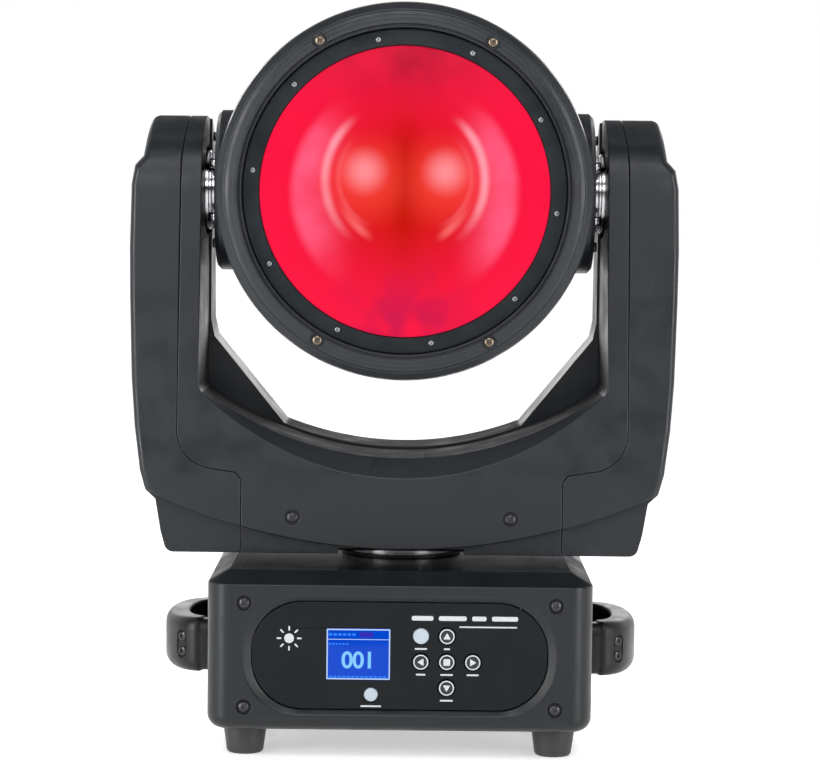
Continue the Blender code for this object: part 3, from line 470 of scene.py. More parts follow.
def noise(tree, place, size, detail=3.0, stretch=(1, 1, 1)):
    """Noise with features of about size millimetres. Returns its value."""
    mapping = tree.nodes.new("ShaderNodeMapping")
    mapping.inputs["Scale"].default_value = stretch
    tree.links.new(place, mapping.inputs["Vector"])
    made = tree.nodes.new("ShaderNodeTexNoise")
    made.inputs["Scale"].default_value = 1 / (size * MM)
    made.inputs["Detail"].default_value = detail
    tree.links.new(mapping.outputs[0], made.inputs["Vector"])
    return made.outputs["Fac"]


def ramp(tree, value, low, high, out_low=0.0, out_high=1.0):
    """A smooth step from out_low to out_high as value goes from low to high."""
    step = tree.nodes.new("ShaderNodeMapRange")
    step.interpolation_type = "SMOOTHSTEP"
    for socket, number in zip(step.inputs[1:5], (low, high, out_low, out_high)):
        socket.default_value = number
    tree.links.new(value, step.inputs["Value"])
    return step.outputs[0]


def axes_of(tree, vector):
    """The X, Y and Z outputs of a vector socket."""
    split = tree.nodes.new("ShaderNodeSeparateXYZ")
    tree.links.new(vector, split.inputs[0])
    return split.outputs


def object_place(tree):
    return tree.nodes.new("ShaderNodeTexCoord").outputs["Object"]


def scaled(colour, factor):
    """A colour made lighter or darker."""
    return tuple(min(1.0, c * factor) for c in colour)


def new_finish(name, slot, colour, roughness, metallic=0.0, grain=None, mottle=0.1, spread=0.08,
               wear=0.0, stretch=(1, 1, 1), **sockets):
    """A material with mottled colour, uneven gloss, a grain of (size, depth) and worn edges."""
    made = bpy.data.materials.new(name)
    made.use_nodes = True
    made["slot"] = slot
    tree = made.node_tree
    shader = tree.nodes["Principled BSDF"]
    shader.inputs["Metallic"].default_value = metallic
    for socket, value in sockets.items():
        shader.inputs[socket.replace("_", " ")].default_value = value
    place = object_place(tree)
    patches = noise(tree, place, 35.0)
    tint = blend_colours(tree, patches, scaled(colour, 1 - mottle), scaled(colour, 1 + mottle))
    if wear:
        geometry = tree.nodes.new("ShaderNodeNewGeometry")
        edges = ramp(tree, geometry.outputs["Pointiness"], 0.52, 0.6)
        scuffs = ramp(tree, noise(tree, place, 6.0, 6.0), 0.45, 0.7)
        worn = link_math(tree, "MULTIPLY", link_math(tree, "MULTIPLY", edges, scuffs), wear)
        tint = blend_colours(tree, worn, tint, scaled(colour, 2.6))
    tree.links.new(tint, shader.inputs["Base Color"])
    smears = noise(tree, place, 18.0, 5.0, stretch)
    gloss = ramp(tree, smears, 0.3, 0.7, roughness - spread, roughness + spread)
    tree.links.new(gloss, shader.inputs["Roughness"])
    if grain:
        bump = tree.nodes.new("ShaderNodeBump")
        bump.inputs["Distance"].default_value = grain[1] * MM
        bump.inputs["Strength"].default_value = 1.0
        tree.links.new(noise(tree, place, grain[0], 2.0, stretch), bump.inputs["Height"])
        tree.links.new(bump.outputs[0], shader.inputs["Normal"])
    return made


def lens_finish():
    """The red lens glowing from the lamp behind it, with painted highlights in the glow: two bright cores and
    curved streaks beside them, and a darker valley between.
    """
    made = new_finish("lens_glow_painted_highlights", "lens_glass", (0.03, 0.0, 0.0), 0.2, mottle=0.05, spread=0.04,
                      Specular_IOR_Level=0.04)
    tree = made.node_tree
    place = object_place(tree)
    axes = axes_of(tree, place)
    rise = link_math(tree, "SUBTRACT", axes["Z"], TILT_Z * MM)
    side = link_math(tree, "ABSOLUTE", link_math(tree, "DIVIDE", axes["X"], LENS_RADIUS * MM))
    up = link_math(tree, "DIVIDE", rise, LENS_RADIUS * MM)

    def fade(value, *ends):
        return ramp(tree, value, *ends)

    def times(*factors):
        product = factors[0]
        for factor in factors[1:]:
            product = link_math(tree, "MULTIPLY", product, factor)
        return product

    def distance(x, z, squeeze=1.0):
        """Distance from (x, z) on the right and from its mirror image on the left."""
        dx = times(link_math(tree, "SUBTRACT", side, x), squeeze)
        dz = link_math(tree, "SUBTRACT", up, z)
        squares = [link_math(tree, "POWER", d, 2.0) for d in (dx, dz)]
        return link_math(tree, "SQRT", link_math(tree, "ADD", *squares))

    def streak(x, z, radius, width):
        """A soft arc round (x, z), for a painted highlight streak."""
        off = link_math(tree, "ABSOLUTE", link_math(tree, "SUBTRACT", distance(x, z), radius))
        return fade(off, 0.0, width, 1.0, 0.0)

    ragged = noise(tree, place, 30.0, 2.0)
    radius = distance(0.0, 0.0)
    top = times(fade(up, 0.45, 1.0), fade(side, 0.0, 0.7, 1.0, 0.25), fade(ragged, 0.3, 0.6, 0.4, 1.0))
    foot = times(fade(up, -0.35, -0.95), fade(side, 0.1, 0.6, 1.0, 0.0), fade(ragged, 0.4, 0.6))
    valley = times(fade(side, 0.0, 0.16, 1.0, 0.0), fade(up, -0.75, 0.1), fade(up, 0.1, 0.75, 1.0, 0.0),
                   fade(radius, 0.0, 1.0, 0.75, 0.5))
    lobe = times(fade(radius, 0.82, 0.74), fade(radius, 0.42, 0.72, 0.25, 1.0), fade(side, 0.3, 0.62),
                 fade(up, -0.75, -0.15), fade(up, 0.72, 0.25), fade(ragged, 0.2, 0.7, 0.35, 0.95))
    halo = fade(distance(0.27, 0.08, 0.9), 0.05, 0.4, 0.6, 0.0)
    ring = times(streak(0.1, 0.1, 0.36, 0.03), fade(side, 0.2, 0.4), fade(up, -0.42, -0.1, 1.0, 0.3),
                 fade(up, 0.4, 0.2, 0.0, 0.75))
    foot_arc = times(streak(0.0, 0.1, 0.47, 0.05), fade(side, 0.2, 0.32), fade(up, -0.02, -0.3),
                     fade(up, -0.5, -0.3, 0.0, 0.7))
    bright = times(streak(0.0, 0.08, 0.55, 0.05), fade(side, 0.28, 0.44), fade(up, -0.38, 0.0, 0.0, 1.0),
                   fade(up, 0.56, 0.36), fade(ragged, 0.2, 0.6, 0.4, 0.75))
    core = fade(distance(0.28, 0.14), 0.0, 0.2, 0.75, 0.0)
    colour = blend_colours(tree, fade(radius, 0.1, 0.95), (0.62, 0.008, 0.004), (0.93, 0.008, 0.055))
    # Painted highlights: lobe, halo, ring, foot_arc, bright and core lighten the glow towards pink and white.
    # Top, foot and valley make it darker towards the top, at the bottom and in an upright strip down the
    # middle.
    layers = (
        (top, (0.42, 0.004, 0.03)),
        (foot, (0.6, 0.008, 0.07)),
        (valley, (0.45, 0.006, 0.0)),
        (lobe, (1.0, 0.13, 0.26)),
        (halo, (1.0, 0.07, 0.05)),
        (ring, (1.0, 0.22, 0.25)),
        (foot_arc, (1.0, 0.2, 0.2)),
        (bright, (1.0, 0.42, 0.5)),
        (core, (1.0, 0.36, 0.4)),
    )
    for mask, tint in layers:
        colour = blend_colours(tree, mask, colour, tint)
    shader = tree.nodes["Principled BSDF"]
    tree.links.new(colour, shader.inputs["Emission Color"])
    shader.inputs["Emission Strength"].default_value = 1.0
    return made


def glowing(name, colour):
    """A lit part of the display."""
    made = new_finish(name, "display_glass", scaled(colour, 0.1), 0.15, mottle=0.03, spread=0.03,
                      Specular_IOR_Level=0.15)
    tree = made.node_tree
    shader = tree.nodes["Principled BSDF"]
    glow = blend_colours(tree, noise(tree, object_place(tree), 14.0, 1.0), scaled(colour, 0.88), colour)
    tree.links.new(glow, shader.inputs["Emission Color"])
    shader.inputs["Emission Strength"].default_value = 1.0
    return made


def vary_gloss(finish, vector, low, high, factor):
    """Scales a finish's roughness by up to factor as the vector's Z goes from low to high."""
    tree = finish.node_tree
    socket = tree.nodes["Principled BSDF"].inputs["Roughness"]
    change = ramp(tree, axes_of(tree, vector)["Z"], low, high, 1.0, factor)
    varied = link_math(tree, "MULTIPLY", socket.links[0].from_socket, change, clamp=True)
    tree.links.new(varied, socket)
    return finish


def matt_top(finish):
    """Makes the faces of a finish that look straight up rougher."""
    normal = finish.node_tree.nodes.new("ShaderNodeNewGeometry").outputs["Normal"]
    return vary_gloss(finish, normal, 0.6, 0.85, 2.5)


def glossy_top(finish, height):
    """Makes the part of a finish above a height glossier."""
    return vary_gloss(finish, object_place(finish.node_tree), (height - 0.3) * MM, (height - 0.05) * MM, 0.4)


SHELL = matt_top(new_finish("shell_plastic_look", "shell_plastic", (0.0105, 0.0125, 0.0155), 0.38,
                            grain=(0.9, 0.04), wear=0.3, Specular_IOR_Level=0.36))
BASE = glossy_top(new_finish("base_plastic_look", "base_plastic", (0.0075, 0.009, 0.0105), 0.36,
                             grain=(0.9, 0.04), wear=0.3, Specular_IOR_Level=0.36), BASE_HIGH.z)
HANDLE = new_finish("handle_plastic_look", "handle_plastic", (0.008, 0.008, 0.0085), 0.38, grain=(0.8, 0.04),
                    wear=0.4, Specular_IOR_Level=0.3)
FILM = new_finish("panel_film_look", "panel_film", (0.002, 0.0036, 0.0048), 0.25, grain=(0.5, 0.006),
                  mottle=0.12, spread=0.05, Specular_IOR_Level=0.2)
PRINT = new_finish("panel_print_look", "key_plastic", (0.45, 0.48, 0.5), 0.4, grain=(0.4, 0.01), mottle=0.05)
KEY_BLACK = new_finish("key_cap_look", "key_plastic", (0.008, 0.010, 0.011), 0.3, grain=(0.4, 0.01))
KEY_PALE = new_finish("key_pale_look", "key_plastic", (0.36, 0.42, 0.47), 0.35, grain=(0.4, 0.01),
                      mottle=0.04)
SCREEN = glowing("screen_look", (0.0, 0.058, 0.56))
SCREEN_LIGHT = glowing("screen_light_look", (0.2, 0.55, 1.0))
SCREEN_EDGE = glowing("screen_edge_look", (0.45, 0.6, 0.85))
SCREEN_FAINT = glowing("screen_faint_look", (0.02, 0.2, 0.95))
SCREEN_DARK = glowing("screen_dark_look", (0.02, 0.01, 0.4))
LENS = lens_finish()
RING = new_finish("ring_black_look", "ring_black", (0.004, 0.007, 0.0095), 0.34, grain=(0.7, 0.03), wear=0.2,
                  Specular_IOR_Level=0.3)
STEEL = new_finish("bright_steel_look", "bright_steel", (0.62, 0.62, 0.64), 0.18, metallic=1.0,
                   grain=(0.35, 0.008), spread=0.07, stretch=(1, 1, 6))
BRUSHED = new_finish("brushed_collar_look", "bright_steel", (0.8, 0.79, 0.78), 0.36, metallic=1.0,
                     grain=(0.3, 0.006), stretch=(1, 1, 8))
RIVET = new_finish("rivet_look", "motor_steel", (0.22, 0.23, 0.24), 0.35, metallic=0.7, grain=(0.4, 0.01))
BLACK_STEEL = new_finish("black_screw_look", "motor_steel", (0.05, 0.05, 0.055), 0.3, metallic=0.8,
                         grain=(0.5, 0.012), wear=0.8)
NICKEL = new_finish("nickel_screw_look", "bright_steel", (0.15, 0.12, 0.09), 0.32, metallic=1.0,
                    grain=(0.4, 0.01), wear=0.4)
RUBBER = new_finish("foot_rubber_look", "foot_rubber", (0.022, 0.022, 0.023), 0.5, grain=(0.8, 0.06),
                    mottle=0.15)
SHEET = new_finish("sheet_metal_look", "sheet_metal", (0.03, 0.031, 0.033), 0.45, metallic=0.2,
                   grain=(0.7, 0.06), wear=0.4)
ALUMINIUM = new_finish("aluminium_look", "aluminium", (0.72, 0.73, 0.75), 0.32, metallic=1.0,
                       grain=(0.3, 0.01), stretch=(1, 8, 1))
OPTIC = new_finish("optic_glass_look", "optic_glass", (0.85, 0.87, 0.9), 0.06, grain=(2.0, 0.02), mottle=0.03,
                   spread=0.03, Transmission_Weight=0.85, IOR=1.49)
BOARD = new_finish("circuit_board_look", "circuit_board", (0.012, 0.12, 0.05), 0.35, grain=(1.2, 0.04),
                   mottle=0.3)
INNER = new_finish("inner_plastic_look", "inner_plastic", (0.016, 0.016, 0.018), 0.42, grain=(0.8, 0.04),
                   wear=0.3)
MOTOR = new_finish("motor_steel_look", "motor_steel", (0.035, 0.035, 0.04), 0.35, metallic=0.6,
                   grain=(0.6, 0.02))
BELT = new_finish("belt_rubber_look", "belt_rubber", (0.018, 0.018, 0.018), 0.6, grain=(0.9, 0.08))
BLUE_INSERT = new_finish("blue_insert_look", "inner_plastic", (0.01, 0.07, 0.35), 0.35, grain=(0.8, 0.03))
GREY_INSERT = new_finish("grey_insert_look", "inner_plastic", (0.3, 0.31, 0.33), 0.4, grain=(0.8, 0.03))

CAD_FINISHES = {
    "bright_steel": STEEL,
    "aluminium": ALUMINIUM,
    "sheet_metal": SHEET,
    "optic_glass": OPTIC,
    "circuit_board": BOARD,
    "inner_plastic": INNER,
    "motor_steel": MOTOR,
    "belt_rubber": BELT,
}


# ---------------------------------------------------------------- screws


def screw_mesh(name, radius, height, drive, drive_sides, flat=0.55):
    """A screw head along +Z on its seat: a low dome with a cross for four sides, or with a socket."""
    profile = [(0, 0), (radius, 0), (radius, height * 0.35), (radius * 0.93, height * 0.72)]
    profile += [(radius * flat, height), (0, height)]
    head = turned(name, filleted(profile, radius * 0.18))
    deep = height * 0.35
    if drive_sides == 4:
        arm = drive * 0.28
        bars = [
            block("bar", (-drive, -arm, deep), (drive, arm, height + 1)),
            block("bar", (-arm, -drive, deep), (arm, drive, height + 1)),
        ]
        cut(head, *bars)
    else:
        cut(head, prism("socket", [circle(0, 0, drive, drive_sides)], deep, height + 1, "Z"))
    mesh = head.data
    bpy.data.objects.remove(head)
    return mesh


SCREWS = {
    "handle": screw_mesh("handle_screw", 2.8, 1.3, 1.3, 6),
    "hub": screw_mesh("hub_screw", 3.2, 3.6, 1.7, 6, 0.8),
    "pin": screw_mesh("socket_pin", 1.0, 8.0, 0.3, 6, 0.5),
}


# ---------------------------------------------------------------- base


def panel_outline(width, height, radius):
    return rounded_rectangle(width, height, radius, steps=20, up=PANEL_Z)


def base_shell():
    """The base's outer surface, open at the bottom: round upright edges and sloped shoulders."""
    bm = bmesh.new()
    bmesh.ops.create_cube(bm, size=1)
    size = BASE_HIGH - BASE_LOW
    tall = BASE_SHOULDER - BASE_LOW.z
    bmesh.ops.scale(bm, vec=(size.x * MM, size.y * MM, tall * MM), verts=bm.verts)
    bmesh.ops.translate(bm, vec=(0, 0, (BASE_SHOULDER + BASE_LOW.z) / 2 * MM), verts=bm.verts)
    upright = [e for e in bm.edges if abs(e.verts[0].co.z - e.verts[1].co.z) > WELD]
    round_edges(bm, upright, BASE_SIDE_ROUND, 12)
    bm.normal_update()
    top = max(bm.faces, key=lambda face: face.normal.z)
    rise = (BASE_HIGH.z - BASE_SHOULDER) * MM
    bmesh.ops.inset_region(bm, faces=[top], thickness=BASE_CHAMFER * MM, depth=rise, use_even_offset=True)
    bm.normal_update()
    bottom = min(bm.faces, key=lambda face: face.normal.z)
    round_edges(bm, list(bottom.edges), BASE_FOOT_ROUND, 8)
    bm.normal_update()
    bottom = min(bm.faces, key=lambda face: (face.normal.z, face.calc_center_median().z))
    bmesh.ops.delete(bm, geom=[bottom], context="FACES")
    shell = add("base_cover", bm)
    wall = shell.modifiers.new("wall", "SOLIDIFY")
    wall.thickness = BASE_WALL * MM
    wall.offset = -1
    wall.use_even_offset = True
    return bake(shell)


def make_base_cover():
    """The base's cover with its openings, the lip round the panel and the corner screws."""
    shell = base_shell()
    front = BASE_LOW.y
    size = PANEL_HIGH - PANEL_LOW
    hole = panel_outline(size.x + 2 * GAP, size.z + 2 * GAP, PANEL_ROUND)
    lip = panel_outline(LIP_WIDTH, LIP_HEIGHT, LIP_ROUND)
    window = REAR_HIGH - REAR_LOW
    cut(
        shell,
        prism("panel_hole", [hole], front - 5, front + 8, "Y"),
        loft("panel_lip", [(lip, front - 1), (lip, front), (hole, front + 2.4)]),
        block(
            "rear_window",
            (-window.x / 2 - GAP, REAR_LOW.y - 4, REAR_LOW.z - GAP),
            (window.x / 2 + GAP, REAR_HIGH.y + 7, REAR_HIGH.z + GAP),
        ),
    )
    places = [(x, front + 1.8, PANEL_Z + rise) for x in (-CORNER_SCREW_X, CORNER_SCREW_X)
              for rise in (-CORNER_SCREW_RISE, CORNER_SCREW_RISE)]
    cut(shell, *pockets(places, 4.0, front - 2))
    bake(soften(shell, 0.7, 18))
    cut(shell, rod("pan_hole", 20.6, BASE_SHOULDER - 10, BASE_HIGH.z + 5, "Z", (0, 0, 0), 64))
    dress(even_shading(shell), BASE, "base", ["base_housing"])
    mesh = screw_mesh("corner_screw", 2.9, 1.7, 1.25, 6)
    place_all("corner_screw", mesh, places, (0, -1, 0), BLACK_STEEL, "base", 20)


def key_places():
    """Key, X, Z, radius and sign of each push button. A number is the way its arrow points, in degrees."""
    signs = {"enter": "square", "up": 90, "down": 270, "left": 180, "right": 0, "mode": None, "power": None}
    made = []
    for key, sign in signs.items():
        low, high = node_box("button_" + key)
        radius = (high.x - low.x) / 2 - KEY_RIM
        made.append((key, (low.x + high.x) / 2, (low.z + high.z) / 2, radius, sign))
    return made


KEYS = key_places()


def turned_outline(outline, across, up, degrees):
    """An outline turned about the origin and moved to (across, up)."""
    cos = math.cos(math.radians(degrees))
    sin = math.sin(math.radians(degrees))
    return [(across + x * cos - y * sin, up + x * sin + y * cos) for x, y in outline]


def make_buttons():
    """The push buttons, flanged behind the film, and the ring and sign printed on each black one."""
    face = PANEL_FACE - KEY_RIM
    shoulder = PANEL_FACE + 2.3
    foot = PANEL_FACE + 5.4
    for key, x, z, radius, sign in KEYS:
        profile = [(0, face), (radius * 0.6, face), (radius, face + 0.12), (radius, shoulder)]
        profile += [(radius + KEY_RIM, shoulder), (radius + KEY_RIM, shoulder + 1), (1.5, shoulder + 1)]
        profile += [(1.5, foot), (0, foot)]
        finish = KEY_PALE if sign is None else KEY_BLACK
        cap = turned("cap_" + key, filleted(profile, 0.3), "Y", (x, 0, z), 64)
        dress(cap, finish, "key_" + key, ["button_" + key])
        if sign is None:
            continue
        if sign == "square":
            mark = rounded_rectangle(3.7, 3.7, 0.5, 4, x, z)
        else:
            triangle = filleted([(2.0, 0), (-1.55, 2.1), (-1.55, -2.1)], 0.3)
            mark = turned_outline(triangle, x, z, sign)
        ring = [circle(x, z, radius - 0.12), circle(x, z, radius - 0.8)]
        marks = [prism("print", outlines, face - 0.03, face + 0.2, "Y") for outlines in (ring, [mark])]
        dress(merged("print_" + key, marks), PRINT, "key_" + key)


def printed(outline):
    """A thin layer of print on the panel."""
    return prism("print", [outline], PANEL_FACE - 0.04, PANEL_FACE + 0.1, "Y")


def bar(across, up, width, height):
    """A plain bar that stands for a word."""
    return printed(rounded_rectangle(width, height, height * 0.35, 3, across, up))


def make_panel():
    """The film with its holes, the bars under the keys, two rows of bars for a title and a sun for a mark."""
    size = PANEL_HIGH - PANEL_LOW
    holes = [circle(x, z, radius + 2 * GAP) for _, x, z, radius, _ in KEYS]
    centre = (DISPLAY_LOW + DISPLAY_HIGH) / 2
    screen = DISPLAY_HIGH - DISPLAY_LOW
    window = rounded_rectangle(screen.x + 2 * GAP, screen.z + 2 * GAP, 1.0, 4, centre.x, centre.z)
    outline = panel_outline(size.x, size.z, PANEL_ROUND)
    film = prism("panel_film", [outline, window, *holes], PANEL_LOW.y, PANEL_HIGH.y, "Y")
    soften(film, 0.25, 40, 2)
    dress(film, FILM, "base", ["control_panel"])
    marks = [bar(x, z - radius - 2.9, LABEL_WIDTHS[key], 0.95) for key, x, z, radius, _ in KEYS]
    left = TITLE_LEFT
    for width in TITLE_WIDTHS:
        marks.append(bar(left + width / 2, TITLE_Z, width, 2.6))
        left += width + 3.0
    marks += [bar(*SUBTITLE), printed(circle(*SUN_PLACE, 2.7))]
    ray = rounded_rectangle(2.6, 0.9, 0.4, 3, 5.6, 0)
    marks += [printed(turned_outline(ray, *SUN_PLACE, 45 * i)) for i in range(8)]
    dress(merged("panel_print", marks), PRINT, "base")


def make_display():
    """The lit display: a frame with a header line, rows of strips for small words, and the number."""
    low, high = DISPLAY_LOW, DISPLAY_HIGH
    dress(block("screen_glass", low, high, 0.3), SCREEN, "base", ["lcd_display"])
    centre = (low + high) / 2
    size = high - low
    face = low.y

    def panel(outlines, proud=0.04):
        return prism("part", outlines, face - proud, face + 0.15, "Y")

    def strip(across, up, width, height, proud=0.04):
        return panel([rounded_rectangle(width, height, height * 0.2, 2, across, up)], proud)

    rim = [
        rounded_rectangle(size.x - 0.1, size.z - 0.1, 0.5, 3, centre.x, centre.z),
        rounded_rectangle(size.x - 1.5, size.z - 1.5, 0.2, 3, centre.x, centre.z),
    ]
    header = high.z - 5.9
    edges = [panel(rim), strip(centre.x, header, size.x - 1.6, 0.35)]
    dress(merged("screen_edge", edges), SCREEN_EDGE, "base")
    words = [strip(low.x + 2.2 + 2.6 * i, header + 2.7, 1.9, 1.3) for i in range(6)]
    words += [strip(low.x + 2.0 + 1.9 * i, header - 2.6, 1.3, 0.9) for i in range(6)]
    words += [strip(low.x + 2.3 + 2.5 * i, low.z + 1.6, 1.8, 0.9) for i in range(13)]
    dress(merged("screen_words", words), SCREEN_FAINT, "base")
    tag = [strip(centre.x + 4.4, header + 2.7, 7.6, 2.9, 0.03)]
    dress(merged("screen_tag", tag), SCREEN_DARK, "base")
    make_digits(Vector((centre.x, face, centre.z - 7.6)))


def make_digits(place):
    """The number on the display, with its foot's middle at place."""
    text = bpy.data.curves.new("digits", "FONT")
    text.body = "001"
    text.size = 13.0 * MM
    text.align_x = "CENTER"
    text.offset = 0.25 * MM
    text.extrude = 0.1 * MM
    text.space_character = 0.95
    holder = linked("digits", text)
    mesh = evaluated_mesh(holder)
    bpy.data.objects.remove(holder)
    mesh.transform(Matrix.Translation(place * MM) @ Matrix.Rotation(math.pi / 2, 4, "X"))
    dress(merged("screen_digits", [linked("digits_mesh", mesh)]), SCREEN_LIGHT, "base")


def make_feet():
    for node in ("foot_front_left", "foot_front_right", "foot_rear_left", "foot_rear_right"):
        low, high = node_box(node)
        wide = (high.x - low.x) / 2
        profile = [(0, 0.4), (5.5, 0.4), (6.2, 0), (wide - 3, 0), (wide - 2, 1.2), (wide, high.z)]
        profile.append((0, high.z))
        centre = ((low.x + high.x) / 2, (low.y + high.y) / 2, 0)
        foot = turned("rubber_" + node, filleted(profile, 0.9), "Z", centre, 64)
        dress(foot, RUBBER, "base", [node])


def handle_edge(angle, inset_x=0.0, inset_y=0.0):
    """A point on the handle loop's outer edge seen from above, or inwards of it by the insets."""
    reach = HANDLE_HIGH.x - HANDLE_LOW.x - inset_x
    x = HANDLE_LOW.x + reach * max(math.cos(angle), 0.0) ** 0.75
    return Vector((x, (HANDLE_HIGH.y - inset_y) * math.sin(angle)))


def handle_ring(side, angle):
    """One rounded cross-section of the handle loop, slimmer beyond its legs."""
    outer = handle_edge(angle)
    inner = handle_edge(angle, HANDLE_DEEP, HANDLE_END)
    shrink = 0.9 * max(0.0, min(1.0, (HANDLE_LEG - outer.x) / 1.2))
    thick = (outer - inner).length
    along = (outer - inner).normalized()
    section = crowned((shrink * 0.3, HANDLE_LOW.z + shrink), (thick - shrink, HANDLE_HIGH.z - shrink))
    points = [(inner + along * u, z) for u, z in section]
    return [(side * point.x * MM, point.y * MM, z * MM) for point, z in points]


def crowned(low, high):
    """A cross-section between two corners: large rounds outside, small ones inside."""
    (u0, z0), (u1, z1) = low, high
    points = []
    steps = 6
    for cx, cz, rx, rz, start in (
        (u1 - 5.5, z0 + 7.5, 5.5, 7.5, -90),
        (u1 - 5.5, z1 - 7.5, 5.5, 7.5, 0),
        (u0 + 2.2, z1 - 2.2, 2.2, 2.2, 90),
        (u0 + 2.2, z0 + 2.2, 2.2, 2.2, 180),
    ):
        for i in range(steps + 1):
            a = math.radians(start + 90 * i / steps)
            points.append((cx + rx * math.cos(a), cz + rz * math.sin(a)))
    return points


def make_handle(name, side):
    """A carrying handle: a half loop with a screw slot near each end."""
    steps = 96
    bm = bmesh.new()
    rings = []
    for i in range(steps + 1):
        ring = handle_ring(side, math.radians(-90 + 180 * i / steps))
        rings.append([bm.verts.new(point) for point in ring])
    for first, second in zip(rings, rings[1:]):
        for i in range(len(first)):
            j = (i + 1) % len(first)
            bm.faces.new((first[i], first[j], second[j], second[i]))
    bm.faces.new(rings[0])
    bm.faces.new(rings[-1])
    loop = add("loop_" + name, bm)
    middle = (HANDLE_LOW.z + HANDLE_HIGH.z) / 2
    edge = handle_edge(math.radians(59.0))
    outward = Vector((0.55, 0.83)).normalized()
    seat = edge - outward * 1.7
    slots = []
    for end, depth in (("front", -1), ("rear", 1)):
        slot = prism("slot", [rounded_rectangle(7.0, 16.0, 3.5, 8, 0, middle)], -1.6, 6.0, "Y")
        turn = Matrix.Rotation(math.atan2(-side * outward.x, depth * outward.y), 4, "Z")
        slot.matrix_world = Matrix.Translation((side * edge.x * MM, depth * edge.y * MM, 0)) @ turn
        slots.append(slot)
        direction = (side * outward.x, depth * outward.y, 0)
        for i, rise in enumerate((-4.3, 4.3)):
            place = (side * seat.x, depth * seat.y, middle + rise)
            placed(f"{name}_screw_{end}_{i}", SCREWS["handle"], place, direction, BLACK_STEEL, "base", 15)
    bpy.context.view_layer.update()
    cut(loop, *slots)
    soften(loop, 0.4, 50, 2)
    dress(loop, HANDLE, "base", [name], 50)


def make_pan_collar():
    """The pan post: a bright ringed collar on a black flange."""
    low, high = COLLAR_LOW.z, COLLAR_HIGH.z
    foot = BASE_HIGH.z + GAP
    top = YOKE_LOW - GAP
    profile = [(14, low), (20, low), (20, foot), (30.4, foot), (30.0, foot + 1.9), (29.3, foot + 2.1)]
    profile += [(29.3, foot + 2.5), (29.9, foot + 2.7), (29.6, top), (20, top), (20, high), (14, high)]
    collar = turned("pan_collar", filleted(profile, 0.15), "Z", (0, 0, 0), 160)
    dress(collar, BRUSHED, "base", ["pan_shaft"])
    flange = [(30.6, foot), (35, foot), (35, foot + 0.8), (34.4, foot + 1.2), (30.6, foot + 1.2)]
    dress(turned("pan_flange", filleted(flange, 0.2), "Z", (0, 0, 0), 128), INNER, "base")


def make_bottom_details():
    mesh = screw_mesh("plate_screw", 3.0, 1.4, 1.7, 4)
    low = node_box("bottom_plate")[0]
    spots = ((-90, -40), (90, -40), (-90, 40), (90, 40), (0, -84), (0, 84))
    places = [(x, y, low.z) for x, y in spots]
    place_all("plate_screw", mesh, places, (0, 0, -1), BLACK_STEEL, "base", 30)


def make_insert(name, x, depth, finish):
    """The coloured lining of a power socket, with a notch above and one below."""
    rear = REAR_HIGH.y
    ring = [(5.2, depth), (8.0, depth), (8.0, rear - 1.2), (6.6, rear - 0.6), (5.2, rear - 0.6)]
    lining = turned("insert_" + name, filleted(ring, 0.3), "Y", (x, 0, PANEL_Z), 64)
    notches = []
    for z in (PANEL_Z - 6.4, PANEL_Z + 6.4):
        notches.append(block("notch", (x - 1.2, rear - 8, z - 1.8), (x + 1.2, rear + 2, z + 1.8)))
    dress(cut(lining, *notches), finish, "base")


def make_connectors():
    """The rear sockets: three pins in a lining for power, five pins in a bare well for data."""
    face = REAR_HIGH.y + GAP
    depth = REAR_HIGH.y - 14
    flange_screw = screw_mesh("flange_screw", 1.9, 1.1, 1.1, 4)
    power_pins = (3.0, [90, 210, 330])
    data_pins = (4.6, [62.5 * i - 35 for i in range(5)])
    inserts = {"power_in": BLUE_INSERT, "power_out": GREY_INSERT, "data_in": None, "data_out": None}
    for name, insert in inserts.items():
        low, high = node_box(name)
        x = (low.x + high.x) / 2
        flange = rounded_rectangle(high.x - low.x, high.z - low.z, 3, 8, x, PANEL_Z)
        body = prism("socket_" + name, [flange, circle(x, PANEL_Z, SOCKET_BORE)], face, high.y, "Y")
        barrel = [(0, low.y), (SOCKET_RADIUS, low.y), (SOCKET_RADIUS, face + 0.8), (SOCKET_BORE, face + 0.8)]
        barrel += [(SOCKET_BORE, depth), (0, depth)]
        combine(body, [turned("barrel", barrel, "Y", (x, 0, PANEL_Z), 64)], "UNION")
        soften(body, 0.35, 40, 2)
        dress(body, INNER, "base", [name])
        places = [(x + dx, high.y - 1.2, PANEL_Z + dz) for dx, dz in ((-9.4, 12), (9.4, -12))]
        place_all(name + "_screw", flange_screw, places, (0, 1, 0), BLACK_STEEL, "base", 40)
        if insert:
            make_insert(name, x, depth, insert)
        reach, angles = power_pins if insert else data_pins
        turns = [math.radians(angle) for angle in angles]
        places = [(x + reach * math.cos(t), depth, PANEL_Z + reach * math.sin(t)) for t in turns]
        place_all(name + "_pin", SCREWS["pin"], places, (0, 1, 0), STEEL, "base")


# ---------------------------------------------------------------- yoke


def yoke_silhouette():
    """The yoke's outer edge from the front, as if the opening were filled."""
    half = [(146.0, 50.0), (149.6, 19.0), (154.2, 13.8), (156.0, 2.8), (156.5, -33.0)]
    half += [(156.0, -62.0), (154.5, -107.0), (152.5, -134.0), (149.3, -159.0), (146.0, -171.0)]
    half += [(140.5, -176.0), (137.5, -194.0), (134.1, YOKE_BOTTOM)]
    return mirrored(half)


def side_profile(shrink):
    """The yoke from the side: a round top about the tilt axis, and straight sides that spread."""
    foot = YOKE_HALF_DEPTH - shrink
    low = YOKE_BOTTOM - 20 + shrink
    top = arc(0, 0, ARM_ROUND - shrink, 0, 180, 24)
    return top + [(-foot, -160), (-foot, low), (foot, low), (foot, -160)]


